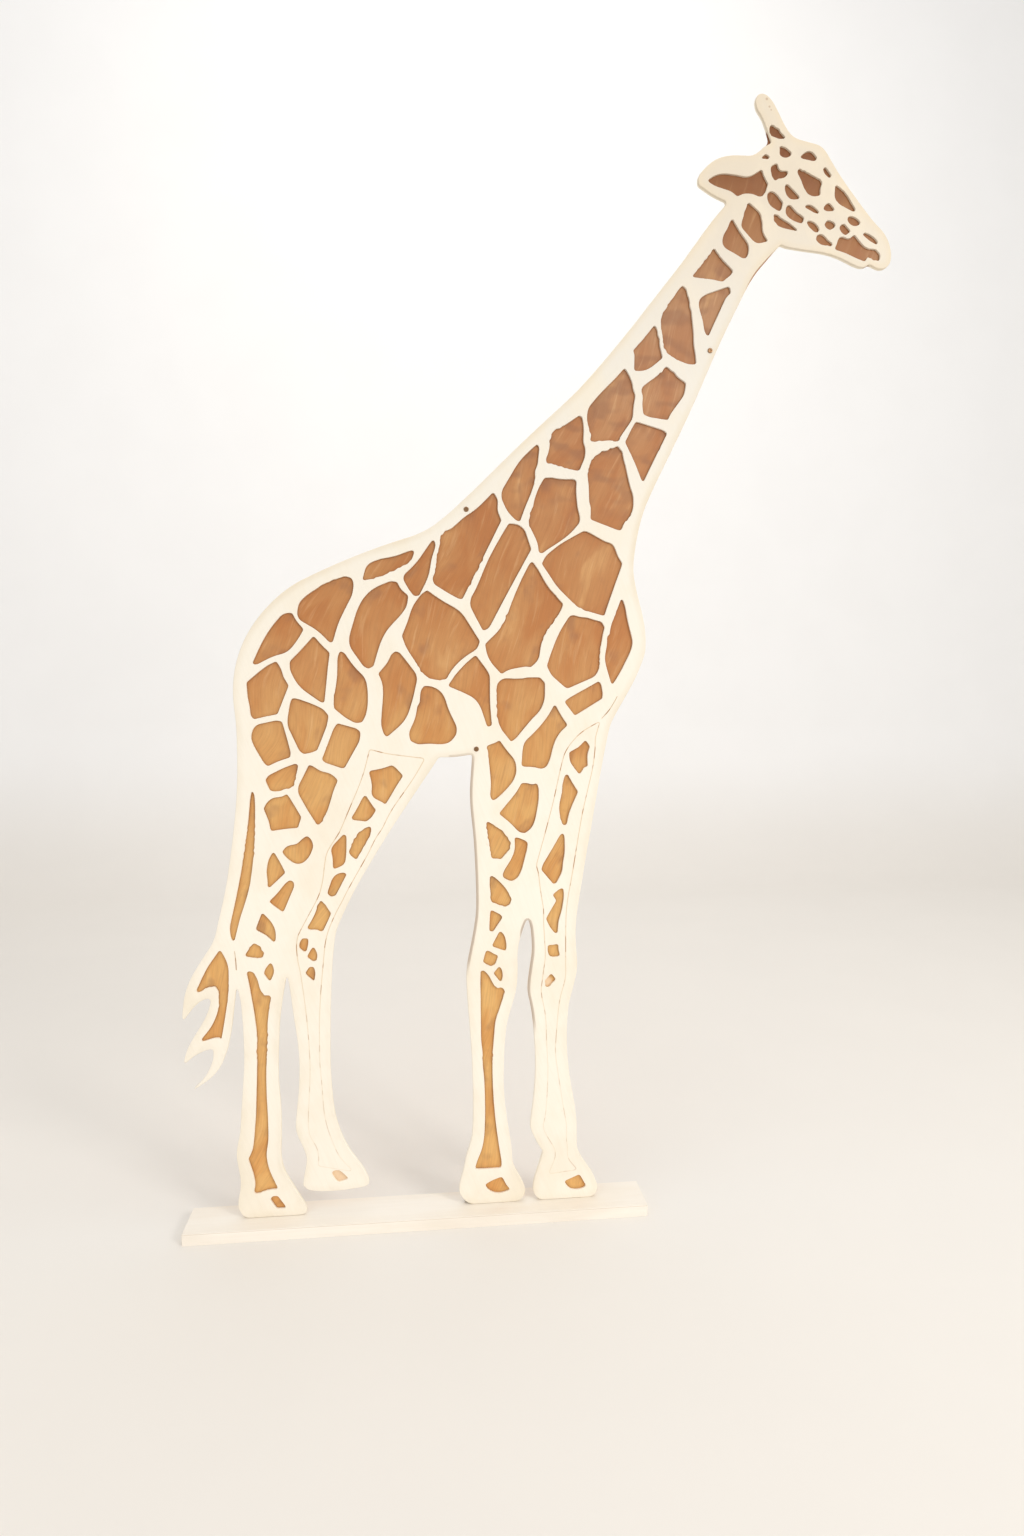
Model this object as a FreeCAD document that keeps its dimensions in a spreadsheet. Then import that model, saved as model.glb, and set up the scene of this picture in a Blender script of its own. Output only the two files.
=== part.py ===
import FreeCAD, Part
import math
import os

import Sketcher

# A tall plywood giraffe in side view, nose to +X, standing on a plank.
# It is a flat sandwich: a stained back panel cut to the animal's outline, and
# on its front a pierced fretwork panel whose openings let the stained wood
# show as the spots.  Two inlaid strips fill the far legs of the fretwork.
# Steel angle brackets behind the three standing hooves hold it to the plank.
#
# Millimetres, +Z up.  The origin is the middle of the plank's underside, the
# front of the giraffe looks toward -Y, and every outline below is given as
# (x, height) with the height measured from the underside of the plank.

document = FreeCAD.newDocument("CutOutGiraffe")

# ---------------------------------------------------------------- dimensions

DIMENSIONS = [
    ("base_length", 800, "plank, along X"),
    ("base_depth", 80, "plank, along Y"),
    ("base_thickness", 20, "plank, along Z"),
    ("base_edge_round", 1.5, "sanded round on the plank's edges"),
    ("outline_foot_level", 20, "height at which the outlines stand"),
    ("fretwork_thickness", 4, "pierced front panel"),
    ("back_thickness", 4, "stained back panel"),
    ("saw_round", 2.5, "radius that the saw leaves in a sharp corner"),
    ("inlay_gap", 0.5, "open joint round each inlaid strip"),
    ("kerf_width", 1, "width of a single saw cut"),
    ("face_head_diameter", 8.6, "screws on the giraffe's face"),
    ("face_head_height", 1.4, "screws on the giraffe's face"),
    ("face_shank_diameter", 3.5, "screws on the giraffe's face"),
    ("face_shank_length", 6, "screws on the giraffe's face"),
    ("face_hole_depth", 3.5, "blind hole of a face screw in the back panel"),
    ("neck_screw_x", 502, "screw on the neck"),
    ("neck_screw_z", 1510, "screw on the neck"),
    ("withers_screw_x", 84, "screw under the withers"),
    ("withers_screw_z", 1233.5, "screw under the withers"),
    ("belly_screw_x", 100, "screw above the front leg"),
    ("belly_screw_z", 830.5, "screw above the front leg"),
    ("bracket_leg", 32, "length of each leg of an angle bracket"),
    ("bracket_width", 30, "angle bracket, along X"),
    ("bracket_thickness", 2, "sheet of the angle bracket"),
    ("bracket_bend", 2, "inside radius of the bend"),
    ("bracket_corner", 4, "rounded free corners of the bracket"),
    ("bracket_hole_spacing", 16, "between the two holes of one leg"),
    ("bracket_hole_offset", 21, "from the outer corner to the holes"),
    ("bracket_hole_diameter", 3.6, "clearance hole"),
    ("near_hind_bracket_x", -285, "middle of the bracket"),
    ("near_front_bracket_x", 92, "middle of the bracket"),
    ("far_front_bracket_x", 232, "middle of the bracket"),
    ("fixing_head_diameter", 6.4, "bracket screws"),
    ("fixing_head_height", 1.8, "bracket screws"),
    ("fixing_shank_diameter", 3, "bracket screws"),
    ("fixing_pilot_diameter", 3.1, "pilot hole for a bracket screw"),
    ("panel_screw_length", 5, "bracket screw into the back panel"),
    ("base_screw_length", 13, "bracket screw into the plank"),
    ("base_pilot_depth", 14, "pilot hole in the plank"),
    ("screw_tip", 0.8, "cone at the end of every screw"),
    ("recess_length_share", 0.56, "cross recess against the head diameter"),
    ("recess_width_share", 0.14, "cross recess against the head diameter"),
    ("recess_depth_share", 0.5, "cross recess against the head height"),
    ("dome_share", 0.7, "rounded rim against the head height"),
]

# A turn gentler than this is a smooth bend, a sharper one is a corner that
# the saw rounds off, and a turn under the last value is taken as straight.
SMOOTH_TURN = math.radians(42)
STRAIGHT_TURN = math.radians(0.4)
# Share of the shorter run that a bend may use up on each side of its point.
BEND_SHARE = 0.49

sheet = document.addObject("Spreadsheet::Sheet", "Dimensions")
for row, (alias, value, note) in enumerate(DIMENSIONS, start=1):
    sheet.set("A%d" % row, note)
    sheet.set("B%d" % row, str(value))
    sheet.setAlias("B%d" % row, alias)
document.recompute()


def size(alias):
    """Value of one cell of the sheet, in millimetres."""
    return float(sheet.get(alias))


# ------------------------------------------------------ outline of the animal
# Clockwise seen from the front, from the tip of the horn.

HORN_AND_FOREHEAD = [
    (579, 1933), (587, 1935.5), (596, 1932.5), (605, 1924), (612, 1913), (625, 1890),
    (634, 1877), (642, 1869.5), (652, 1865.5), (675, 1861.5), (686, 1859.5), (694, 1856),
    (701, 1849.5), (712, 1833.5), (725, 1815), (745, 1790.5), (775, 1756), (792, 1738),
    (806, 1726), (815, 1715),
]
MUZZLE_AND_JAW = [
    (822, 1701), (825, 1684), (823, 1671), (816, 1663.5), (805, 1660), (795, 1663),
    (784, 1668), (778, 1663), (770, 1661.5), (757, 1664.5), (735, 1674), (718, 1679.5),
    (698, 1683), (660, 1685.5), (632, 1688.5), (624.5, 1692),
]
THROAT = [(605, 1670.5), (582, 1643.5), (571, 1626)]
# The fretwork was sawn a little short along the throat, so the edge of the
# back panel shows there as a brown line.
SHORT_THROAT = [(604, 1671.4), (580.4, 1644.6), (569.4, 1626.8)]
NECK_AND_CHEST = [
    (556, 1597), (530, 1545), (508, 1497), (487, 1447), (466, 1400), (437, 1340),
    (406, 1277), (391, 1243), (383.5, 1218), (377, 1188), (373, 1158), (372, 1135),
    (376, 1112), (383, 1084), (390, 1060), (395.5, 1028), (395.5, 998), (388, 976),
    (376, 948), (358, 916), (343, 890), (333, 870),
]
FAR_FRONT_LEG = [
    (321, 810), (309, 740), (301, 690), (295, 658), (284, 588), (277, 543), (274.5, 515),
    (274.5, 490), (278, 452), (277, 435), (270.5, 406), (263, 380), (260, 345), (259.5, 300),
    (264, 252), (273, 203), (278.5, 165), (278.5, 120), (281, 107), (290, 90.5),
    (300, 76.5), (308, 64), (313, 52), (316.5, 43), (317, 34), (313, 25), (306, 20),
    (214, 20), (207, 24), (200, 34), (199, 46), (203, 66), (211.5, 90), (217, 110),
    (205.5, 128), (195, 152), (194, 163), (198.5, 195), (203, 240), (203.5, 285),
    (200, 340), (195, 377), (189.5, 400), (189.5, 415), (192.5, 440), (197.5, 473),
    (197, 495), (194.5, 520),
]
NEAR_FRONT_LEG = [
    (189, 535), (181, 515), (174, 492), (171, 470), (172, 440), (170, 407), (160, 373),
    (152, 345), (148, 300), (146.5, 235), (150, 195), (156, 153), (161.5, 120), (162, 98),
    (165, 85), (178, 62), (185, 46), (186, 35), (180, 25), (170, 20),
    (90, 20), (81, 24), (73, 32), (68, 42), (67, 51), (68.5, 60), (71, 70), (75.5, 85),
    (78, 100), (81, 112), (86, 128), (90.5, 144), (92, 165), (92.5, 205), (92, 250),
    (90, 300), (87.5, 335), (84.5, 375), (82, 410), (81.5, 435), (83, 455), (87, 475),
    (92, 500), (96, 522), (99, 545), (99.5, 575), (98, 625), (95, 680), (90, 725),
    (88.5, 755), (90.5, 785),
]
BELLY = [
    (93, 821), (62, 816.5), (36, 816.5), (0, 763), (-50, 689), (-100, 606),
]
FAR_HIND_LEG = [
    (-119, 570), (-131, 544), (-141, 521), (-145, 497), (-149, 455), (-152, 390),
    (-153.5, 330), (-154, 285), (-151.5, 235), (-147, 195), (-138, 165), (-127, 138),
    (-110, 112.5), (-98, 95), (-91, 79), (-89.5, 70), (-94, 65.5), (-103, 63.5),
    (-125, 61), (-150, 59.5), (-178, 60.5), (-196, 64.5), (-203.5, 73), (-203, 83),
    (-198, 108), (-196.5, 122), (-201, 138), (-212, 163), (-215, 180), (-208, 245),
    (-206, 290), (-208.5, 330), (-215, 375), (-219, 413), (-222, 435),
]
NEAR_HIND_LEG = [
    (-224, 446), (-227, 437), (-233, 403), (-238, 368), (-241.5, 300), (-242, 262),
    (-238, 212), (-238.5, 160), (-240.5, 128), (-236, 103), (-222, 76), (-200, 38),
    (-197, 28), (-200, 22), (-206, 20),
    (-300, 20), (-308, 27), (-314, 38), (-314, 52), (-309, 76), (-309, 92),
    (-315.5, 132), (-313, 152), (-308, 172), (-305, 215), (-301, 262), (-298.5, 300),
    (-299, 355), (-302, 402), (-306, 422),
]
TAIL = [
    (-308, 427), (-310, 420), (-313.5, 392), (-318, 355), (-326, 318), (-338, 289),
    (-354, 271), (-374, 258), (-388, 250),
    (-372, 265), (-364, 274), (-357, 286), (-350, 304), (-349, 318), (-351, 322.5),
    (-361, 321), (-380, 312.5), (-399, 296),
    (-397, 310), (-389, 331), (-375, 354), (-363, 373), (-355, 391), (-351.5, 405),
    (-354, 410.5), (-364, 408.5), (-378, 398.5), (-399, 370),
    (-398.5, 388), (-394, 420), (-384, 446), (-367, 474), (-350, 499), (-343, 513),
    (-334, 550), (-322, 600), (-310, 677),
]
RUMP_AND_BACK = [
    (-302, 745), (-299, 800), (-299.5, 875), (-304.5, 918), (-302, 958), (-293, 993),
    (-278, 1026), (-256, 1057), (-228, 1086), (-200, 1107), (-160, 1127), (-110, 1150),
    (-50, 1173.5), (0, 1190), (22, 1201), (50, 1222), (100, 1269), (150, 1319),
    (200, 1367), (240, 1404), (270, 1432), (300, 1465), (330, 1500), (370, 1549),
    (400, 1588), (450, 1651), (500, 1721),
]
EAR_AND_HORN = [
    (525.5, 1751), (526.5, 1756.5), (503, 1765), (478, 1780), (476, 1790), (480, 1799),
    (497, 1817), (514, 1827.5), (535, 1832.5), (571, 1833.5), (582, 1840.5), (598, 1855.5),
    (600, 1862), (594, 1881), (586, 1898), (577, 1909), (574, 1920), (575.5, 1928),
]
# The fretwork panel has a nick behind the root of the horn.
EAR_AND_NICKED_HORN = [
    (525.5, 1751), (526.5, 1756.5), (503, 1765), (478, 1780), (476, 1790), (480, 1799),
    (497, 1817), (514, 1827.5), (535, 1832.5), (571, 1833.5), (582, 1840.5), (593, 1851),
    (600, 1854), (604.5, 1857.5), (602, 1861.5), (600, 1866), (596.5, 1875), (586, 1898),
    (577, 1909), (574, 1920), (575.5, 1928),
]
FROM_HORN_TO_JAW = HORN_AND_FOREHEAD + MUZZLE_AND_JAW
FROM_NECK_TO_BACK = (
    NECK_AND_CHEST
    + FAR_FRONT_LEG
    + NEAR_FRONT_LEG
    + BELLY
    + FAR_HIND_LEG
    + NEAR_HIND_LEG
    + TAIL
    + RUMP_AND_BACK
)
BACK_OUTLINE = FROM_HORN_TO_JAW + THROAT + FROM_NECK_TO_BACK + EAR_AND_HORN
FRETWORK_OUTLINE = FROM_HORN_TO_JAW + SHORT_THROAT + FROM_NECK_TO_BACK + EAR_AND_NICKED_HORN

# ------------------------------------------------- openings of the fretwork

HEAD_OPENINGS = [
    # inside of the ear
    [(492, 1788), (509, 1799), (522, 1801.5), (544, 1800.5), (561, 1798), (571, 1801),
     (588.5, 1812.5), (591, 1803), (599.5, 1789), (595, 1777), (590, 1769), (584, 1767.5),
     (572, 1772), (557, 1771.5), (546, 1765.5), (535, 1773.5), (505, 1780.5)],
    # horn and brow
    [(604, 1886), (612, 1882), (628.5, 1866.5), (625, 1864), (608, 1865.5), (602, 1871),
     (600, 1878), (601.5, 1884)],
    [(620, 1852), (629, 1851), (640.5, 1842.5), (638, 1837.5), (632, 1834), (625, 1834),
     (620, 1837), (618.5, 1842)],
    [(594, 1837.5), (604, 1833.5), (592, 1829.5), (586.5, 1830.5)],
    [(655, 1837), (664, 1845), (671, 1848), (678, 1846), (686, 1837), (682, 1832.5),
     (672, 1832.5), (658, 1834.5)],
    [(604, 1818), (611, 1823), (615.5, 1824), (617, 1816), (622, 1812), (636, 1813),
     (633, 1806), (627, 1801), (619, 1800), (611, 1795.5), (608, 1799), (603.5, 1811)],
    # eye
    [(650, 1813), (655, 1817), (670, 1812), (696, 1799), (692.5, 1788), (693, 1777),
     (682, 1773.5), (672, 1776), (664, 1785), (657, 1802)],
    # bridge of the nose
    [(701, 1824), (712.5, 1810), (708, 1805.5), (699, 1812.5), (696.5, 1820)],
    [(719, 1797), (730, 1790), (739, 1782), (748, 1770), (758, 1756), (753, 1753),
     (741, 1758), (726, 1765), (718.5, 1774)],
    # cheek and jaw
    [(634, 1791.5), (646, 1781), (658, 1770), (650, 1767), (640, 1766.5), (633, 1772),
     (629, 1782), (630, 1790)],
    [(599, 1774), (604, 1778), (611, 1777), (621, 1767.5), (626, 1760), (625.5, 1754),
     (622, 1746.5), (618, 1746.5), (603, 1754.5), (598, 1766)],
    [(638, 1758), (642, 1756), (650, 1747), (661, 1741), (665.5, 1738), (661, 1728),
     (645, 1732), (634, 1739), (631, 1746), (633, 1755)],
    [(610, 1741), (616, 1740), (626, 1734), (639, 1728), (654, 1717), (652, 1715.5),
     (634, 1718), (623, 1720), (615, 1725), (611, 1734)],
    [(664, 1756), (670, 1760), (676, 1760), (684, 1756), (692, 1749), (689, 1746),
     (681, 1748), (673, 1752)],
    [(707, 1765), (711, 1764), (719.5, 1755), (716, 1752), (705, 1751), (698.5, 1754),
     (701, 1760)],
    [(706.5, 1736.5), (715, 1735.5), (720.5, 1732), (721, 1728), (718, 1724),
     (711, 1720.5), (704, 1724), (701.5, 1729)],
    [(673, 1734), (682, 1732.5), (689, 1727), (693, 1720.5), (689.5, 1715), (684, 1715.5),
     (673, 1724), (669.5, 1731)],
    [(694, 1713), (700, 1712), (709, 1703), (717.5, 1698), (714, 1694.5), (700, 1696),
     (690, 1700), (687, 1705), (689, 1711)],
    # muzzle
    [(737, 1732.5), (731, 1730), (728.5, 1724), (733, 1717), (740, 1713.5), (749.5, 1721)],
    [(748, 1746), (756, 1744.5), (763, 1740.5), (766.5, 1735.5), (762, 1730.5),
     (754, 1729.5), (747, 1732.5), (742.5, 1738.5), (743.5, 1744)],
    # mouth
    [(720, 1689), (724, 1696), (727, 1706), (730, 1710), (737, 1711), (743, 1708),
     (748, 1708.5), (756, 1716), (765, 1706), (774, 1697), (783, 1693.5), (796, 1692),
     (801, 1689), (802.5, 1684), (802, 1675), (797, 1674.5), (782, 1680.5), (779, 1679),
     (778.5, 1674.5), (776, 1672), (762, 1676), (739, 1685)],
    # nostril
    [(773, 1720), (780, 1719), (794, 1712), (799.5, 1704.5), (796, 1701.5), (785, 1706),
     (771, 1716)],
]

NECK_OPENINGS = [
    [(567, 1757), (584, 1744), (588, 1739), (589, 1732), (591, 1727), (591, 1714),
     (595, 1705), (602, 1696), (597, 1694.5), (584, 1691), (576, 1694), (555, 1715),
     (553.5, 1719), (555, 1727), (558, 1735), (558, 1741), (562, 1747), (563.5, 1755)],
    [(538, 1730), (543, 1721), (552, 1708), (566, 1691), (568, 1684), (567, 1673),
     (563, 1666), (557, 1665), (544, 1672), (526, 1680), (521, 1687), (521, 1696),
     (524, 1704), (529, 1711), (534, 1724)],
    [(507, 1678.5), (521, 1661.5), (535, 1650), (541, 1643.5), (536, 1636), (529, 1631),
     (523, 1625.5), (518, 1625.5), (505, 1628), (468, 1630), (473, 1636), (483, 1647),
     (499, 1668)],
    [(453, 1616), (460, 1608), (462, 1598), (465.5, 1590), (465.5, 1581), (468.5, 1576),
     (470, 1562), (473, 1540), (473.5, 1519), (477, 1503), (478.5, 1488), (475, 1486),
     (462, 1486.5), (445, 1493), (432, 1500), (422, 1510), (420, 1525), (416, 1547),
     (415, 1558), (420, 1569), (433, 1589), (447, 1610)],
    [(535, 1618), (528, 1616), (518, 1612), (492, 1602.5), (482.5, 1594.5), (481, 1585),
     (484, 1573), (489, 1559), (492, 1541), (498.5, 1532.5), (508, 1554), (520, 1580),
     (529, 1600), (537.5, 1607.5)],
    [(405, 1549), (410, 1541), (410, 1531), (414, 1526), (413.5, 1518), (416, 1508),
     (419.5, 1495), (398, 1477), (385, 1471.5), (370, 1471.5), (370.5, 1499),
     (367.5, 1504.5), (384, 1522)],
    [(427, 1481.5), (449, 1462), (461, 1455), (459, 1440), (456.5, 1433), (434, 1402),
     (430, 1392), (426, 1392.5), (396, 1396), (387, 1400), (384.5, 1416), (386, 1430),
     (382.5, 1439), (385, 1446), (401, 1458), (418, 1470)],
    [(354, 1476), (362, 1463), (367.5, 1451), (368.5, 1440), (373, 1432), (369, 1409),
     (369, 1393), (342, 1354), (318, 1355.5), (300, 1351.5), (295, 1353), (297.5, 1363),
     (291, 1378), (289, 1391), (291, 1407), (310, 1430), (341, 1461)],
    [(374, 1387.5), (381, 1386), (422, 1375), (429, 1370), (409, 1330), (387, 1284.5),
     (374, 1317), (355.5, 1352.5), (366, 1374)],
    [(343, 1346), (351, 1336), (352, 1328), (355.5, 1318), (362, 1291), (365, 1279),
     (371, 1264), (371, 1240), (362, 1225), (354, 1217), (350, 1206), (346, 1204.5),
     (310, 1217), (296.5, 1222), (297, 1243), (294, 1250), (293, 1280), (291, 1290),
     (293, 1306), (296, 1318), (308, 1332), (330, 1340)],
    [(276, 1394.5), (281, 1392), (284, 1376), (283, 1350), (287, 1341), (286.5, 1326),
     (277, 1304), (272, 1302.5), (250, 1308), (222, 1315), (219.5, 1319), (223.5, 1330),
     (227, 1352), (230, 1365), (251, 1377)],
]

SHOULDER_OPENINGS = [
    [(205, 1345.5), (208, 1339), (205, 1310), (200.5, 1302), (201, 1288), (196, 1268),
     (185, 1243), (175, 1215.5), (168, 1217.5), (154, 1231), (143.5, 1253), (144, 1266),
     (156, 1286), (175, 1318)],
    [(217, 1289.5), (230, 1290), (245, 1287.5), (267, 1288.5), (272, 1286), (271, 1270),
     (274, 1240), (278.5, 1225), (277.5, 1216), (263, 1199), (247, 1186), (220, 1168.5),
     (213, 1163), (207.5, 1165), (205.5, 1181), (195, 1202), (189.5, 1212), (195, 1237),
     (198, 1241), (199, 1250), (206, 1271)],
    [(130, 1263.5), (138.5, 1250), (136, 1235), (143.5, 1217), (135, 1200), (105, 1140),
     (77, 1084.5), (72, 1084.5), (55, 1093), (30, 1108.5), (27.5, 1114), (32, 1132),
     (37, 1158), (40, 1175), (41, 1188), (49, 1196), (59, 1201), (82, 1222), (101, 1234)],
    [(156, 1212), (172, 1211), (183, 1203), (194.5, 1170), (150, 1089), (122, 1036),
     (112, 1031.5), (90, 1073), (91, 1086), (100, 1101), (120, 1149), (135, 1177)],
    [(196, 1150), (206, 1137), (222, 1108), (250, 1078), (245, 1066), (213, 1021),
     (208, 983), (194, 970.5), (185, 972), (155, 966), (143.5, 958.5), (127, 976),
     (119, 990), (115.5, 1009), (138, 1031), (149, 1047), (170, 1103), (190, 1143)],
    [(285, 1202.5), (292, 1201), (324, 1184.5), (333, 1183), (339, 1176), (345, 1160),
     (352.5, 1149), (350, 1140), (336, 1102), (321.5, 1059), (290, 1067.5), (272, 1076),
     (240, 1106), (225, 1128), (212.5, 1146), (220, 1160), (245, 1180), (268, 1193)],
    [(267, 1060), (280, 1056.5), (291, 1056), (304, 1052), (317, 1049), (322.5, 1040),
     (318, 1021), (314, 998), (313, 967), (306, 955), (285, 946), (259, 934.5),
     (254, 936), (229, 957.5), (222, 973), (233, 1006), (244, 1032), (261, 1058)],
    [(352, 1092), (358, 1077), (363, 1050), (373, 1014), (368, 997), (350, 961),
     (336, 939), (332, 952), (322, 985), (327, 1010), (327, 1024), (331, 1027),
     (333, 1040), (337, 1050)],
    [(148, 951.5), (176, 950), (188, 953), (210, 953), (218.5, 944), (218.5, 915),
     (211, 896), (196, 882), (168, 848), (160, 842.5), (138, 871), (136, 900),
     (135, 938), (139, 946)],
    [(313, 947), (317, 942), (320, 925), (319, 917), (271, 887.5), (252.5, 911.5),
     (262, 918.5), (306, 943)],
]

FLANK_OPENINGS = [
    [(99.5, 990.5), (118, 966), (123.5, 956), (123.5, 905), (127, 871), (119, 868),
     (108, 902), (98, 917), (80, 926.5), (52, 938), (63, 955), (83, 977)],
    [(18, 1098.5), (42, 1081.5), (66, 1069), (78, 1059), (106.5, 1014), (102, 1001),
     (78, 986), (60, 968), (49, 950), (34, 947.5), (14, 953.5), (-18, 1002),
     (-25, 1022), (-14, 1048), (-8, 1070), (8, 1092)],
    [(29, 1184), (33, 1174), (25, 1150), (21, 1122), (4, 1089), (-4, 1088.5),
     (-12, 1098), (-22, 1116), (-20.5, 1124), (-10, 1133), (2, 1146), (20, 1172)],
    [(-3, 1164.5), (-12, 1163), (-35, 1153.5), (-60, 1149), (-78, 1141.5),
     (-84, 1134.5), (-90, 1112.5), (-74, 1116), (-45, 1127), (-12, 1144), (-5, 1154)],
    [(-42, 1113), (-32, 1111), (-27, 1100), (-14, 1089), (-16, 1071), (-27, 1056),
     (-50, 1032), (-61, 1011), (-73, 971), (-81, 966.5), (-89, 970), (-112, 1003),
     (-113, 1018), (-100, 1062), (-90, 1082), (-76, 1097), (-60, 1106)],
    [(-117, 1120), (-107, 1116), (-104, 1108), (-106, 1090), (-130, 1044),
     (-140, 1010), (-145, 1010), (-163, 1029), (-194, 1047), (-197.5, 1056),
     (-195, 1074), (-182, 1087), (-150, 1108)],
    [(-128, 995.5), (-121, 993), (-105, 969), (-87, 952), (-83, 934), (-83, 905),
     (-87, 887), (-93, 877), (-103, 875), (-119, 883), (-139, 900), (-139.5, 917),
     (-133, 950), (-132.5, 985)],
    [(-36, 996), (-29, 994), (-2, 959), (0, 949), (-8, 914), (-19, 880), (-52, 851.5),
     (-57, 857), (-61.5, 872), (-57, 925), (-58, 943), (-65, 958.5), (-49, 977),
     (-43, 991)],
    [(12, 938), (24, 937.5), (38, 931), (47, 918), (52, 899), (67, 868), (66, 855),
     (54, 841), (38, 838.5), (20, 840.5), (0, 838.5), (-12, 845), (-15, 858),
     (-3, 884), (0, 904), (4, 909), (6, 931)],
]

RUMP_OPENINGS = [
    [(-215, 1058), (-205, 1057.5), (-199, 1045), (-187, 1031), (-197, 1014),
     (-213, 993), (-237, 987), (-264, 972.5), (-272, 973), (-255, 1010), (-240, 1034),
     (-223, 1054)],
    [(-171, 1020.5), (-157, 1004), (-145, 993), (-148, 972), (-155, 909.5),
     (-161, 910.5), (-190, 931), (-202, 945), (-211, 965), (-210.5, 978), (-190, 999)],
    [(-232, 978), (-224, 964), (-222, 953), (-213, 938), (-232, 890.5), (-250, 887),
     (-271, 882), (-276, 888), (-277, 903), (-280, 918), (-281.5, 943), (-258, 963),
     (-244, 973)],
    [(-208, 917), (-199, 916), (-176, 908), (-157, 899), (-148.5, 888), (-151, 872),
     (-168, 830), (-176, 826.5), (-190, 823.5), (-197, 828), (-216, 870), (-216, 883),
     (-211, 910)],
    [(-234, 880), (-225, 878), (-220, 860), (-211.5, 826), (-213, 818), (-231, 812.5),
     (-250, 803.5), (-256, 809), (-272, 838), (-276.5, 851), (-273, 865), (-266, 873)],
    [(-134, 875), (-102, 866), (-96, 860), (-97, 846), (-123, 800), (-127, 799),
     (-156, 809), (-160.5, 814), (-140, 867)],
    [(-204, 807.5), (-199.5, 805), (-208, 770), (-214, 767), (-240, 760.5),
     (-247, 763), (-254, 780), (-250, 787), (-225, 800)],
    [(-182, 805.5), (-175, 803), (-164, 794.5), (-150, 791.5), (-142, 787),
     (-134.5, 779), (-142, 762), (-153, 725), (-166, 704.5), (-171, 704.5),
     (-186, 729), (-201, 758), (-200.5, 769), (-190, 789)],
    [(-219, 757), (-210, 742), (-196, 717), (-202, 699), (-223, 697.5), (-247, 694),
     (-249, 709), (-258, 732), (-252, 743), (-243, 750), (-226, 752)],
]

NEAR_HIND_LEG_OPENINGS = [
    [(-187, 685), (-180, 679), (-176.5, 667), (-184, 649), (-195, 638), (-207, 637),
     (-220, 646), (-229, 658), (-222, 667), (-214, 670), (-204, 671), (-194, 681)],
    [(-243, 660), (-235, 646), (-224, 623), (-254, 594.5), (-253.5, 610),
     (-255.5, 624), (-252, 645)],
    [(-217, 610), (-211, 607.5), (-209.5, 600), (-229, 554.5), (-252.5, 573.5),
     (-240, 585), (-224, 605)],
    [(-263.5, 556), (-248, 538.5), (-242, 525), (-242, 508), (-245, 503), (-256, 515),
     (-275, 526), (-272, 535)],
    [(-278, 504), (-267, 495), (-262.5, 483), (-265, 478), (-279, 478.5),
     (-292.5, 481.5), (-285, 496)],
    [(-251, 470), (-247, 462), (-245.5, 452), (-253, 435.5), (-263, 450), (-260, 459)],
    # long stripe down the shin
    [(-291.5, 453), (-287, 455.5), (-280, 453), (-273, 440), (-270, 422), (-262, 411.5),
     (-252, 412.5), (-254.5, 395), (-258, 370), (-260, 330), (-262.5, 275),
     (-262.5, 235), (-260.5, 190), (-261, 155), (-265.5, 132), (-261, 105),
     (-245.5, 69), (-262, 69.5), (-283, 62.5), (-286.5, 67), (-284, 78), (-286, 95),
     (-295, 125.5), (-287, 142), (-284, 168), (-281, 200), (-278, 270), (-275.5, 335),
     (-279, 375), (-288, 435)],
    # hoof
    [(-256, 57), (-247, 57), (-231.5, 34), (-249, 34.5), (-259.5, 51.5)],
]

TAIL_OPENINGS = [
    [(-276, 765), (-272, 755), (-271.5, 725), (-274, 680), (-277.5, 636), (-284, 597),
     (-292, 571), (-300, 548), (-312, 501), (-319, 526), (-312, 555), (-299.5, 610),
     (-285, 692), (-279.5, 750)],
    [(-334, 494.5), (-324, 475), (-321, 462), (-321, 445), (-323, 410), (-331, 362),
     (-336, 337), (-338, 342), (-347, 342), (-369, 335.5), (-367, 342), (-353, 358),
     (-343, 378), (-336, 402), (-339, 425), (-345, 431.5), (-357, 430),
     (-376.5, 418.5), (-369, 437), (-357, 462)],
]

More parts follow.
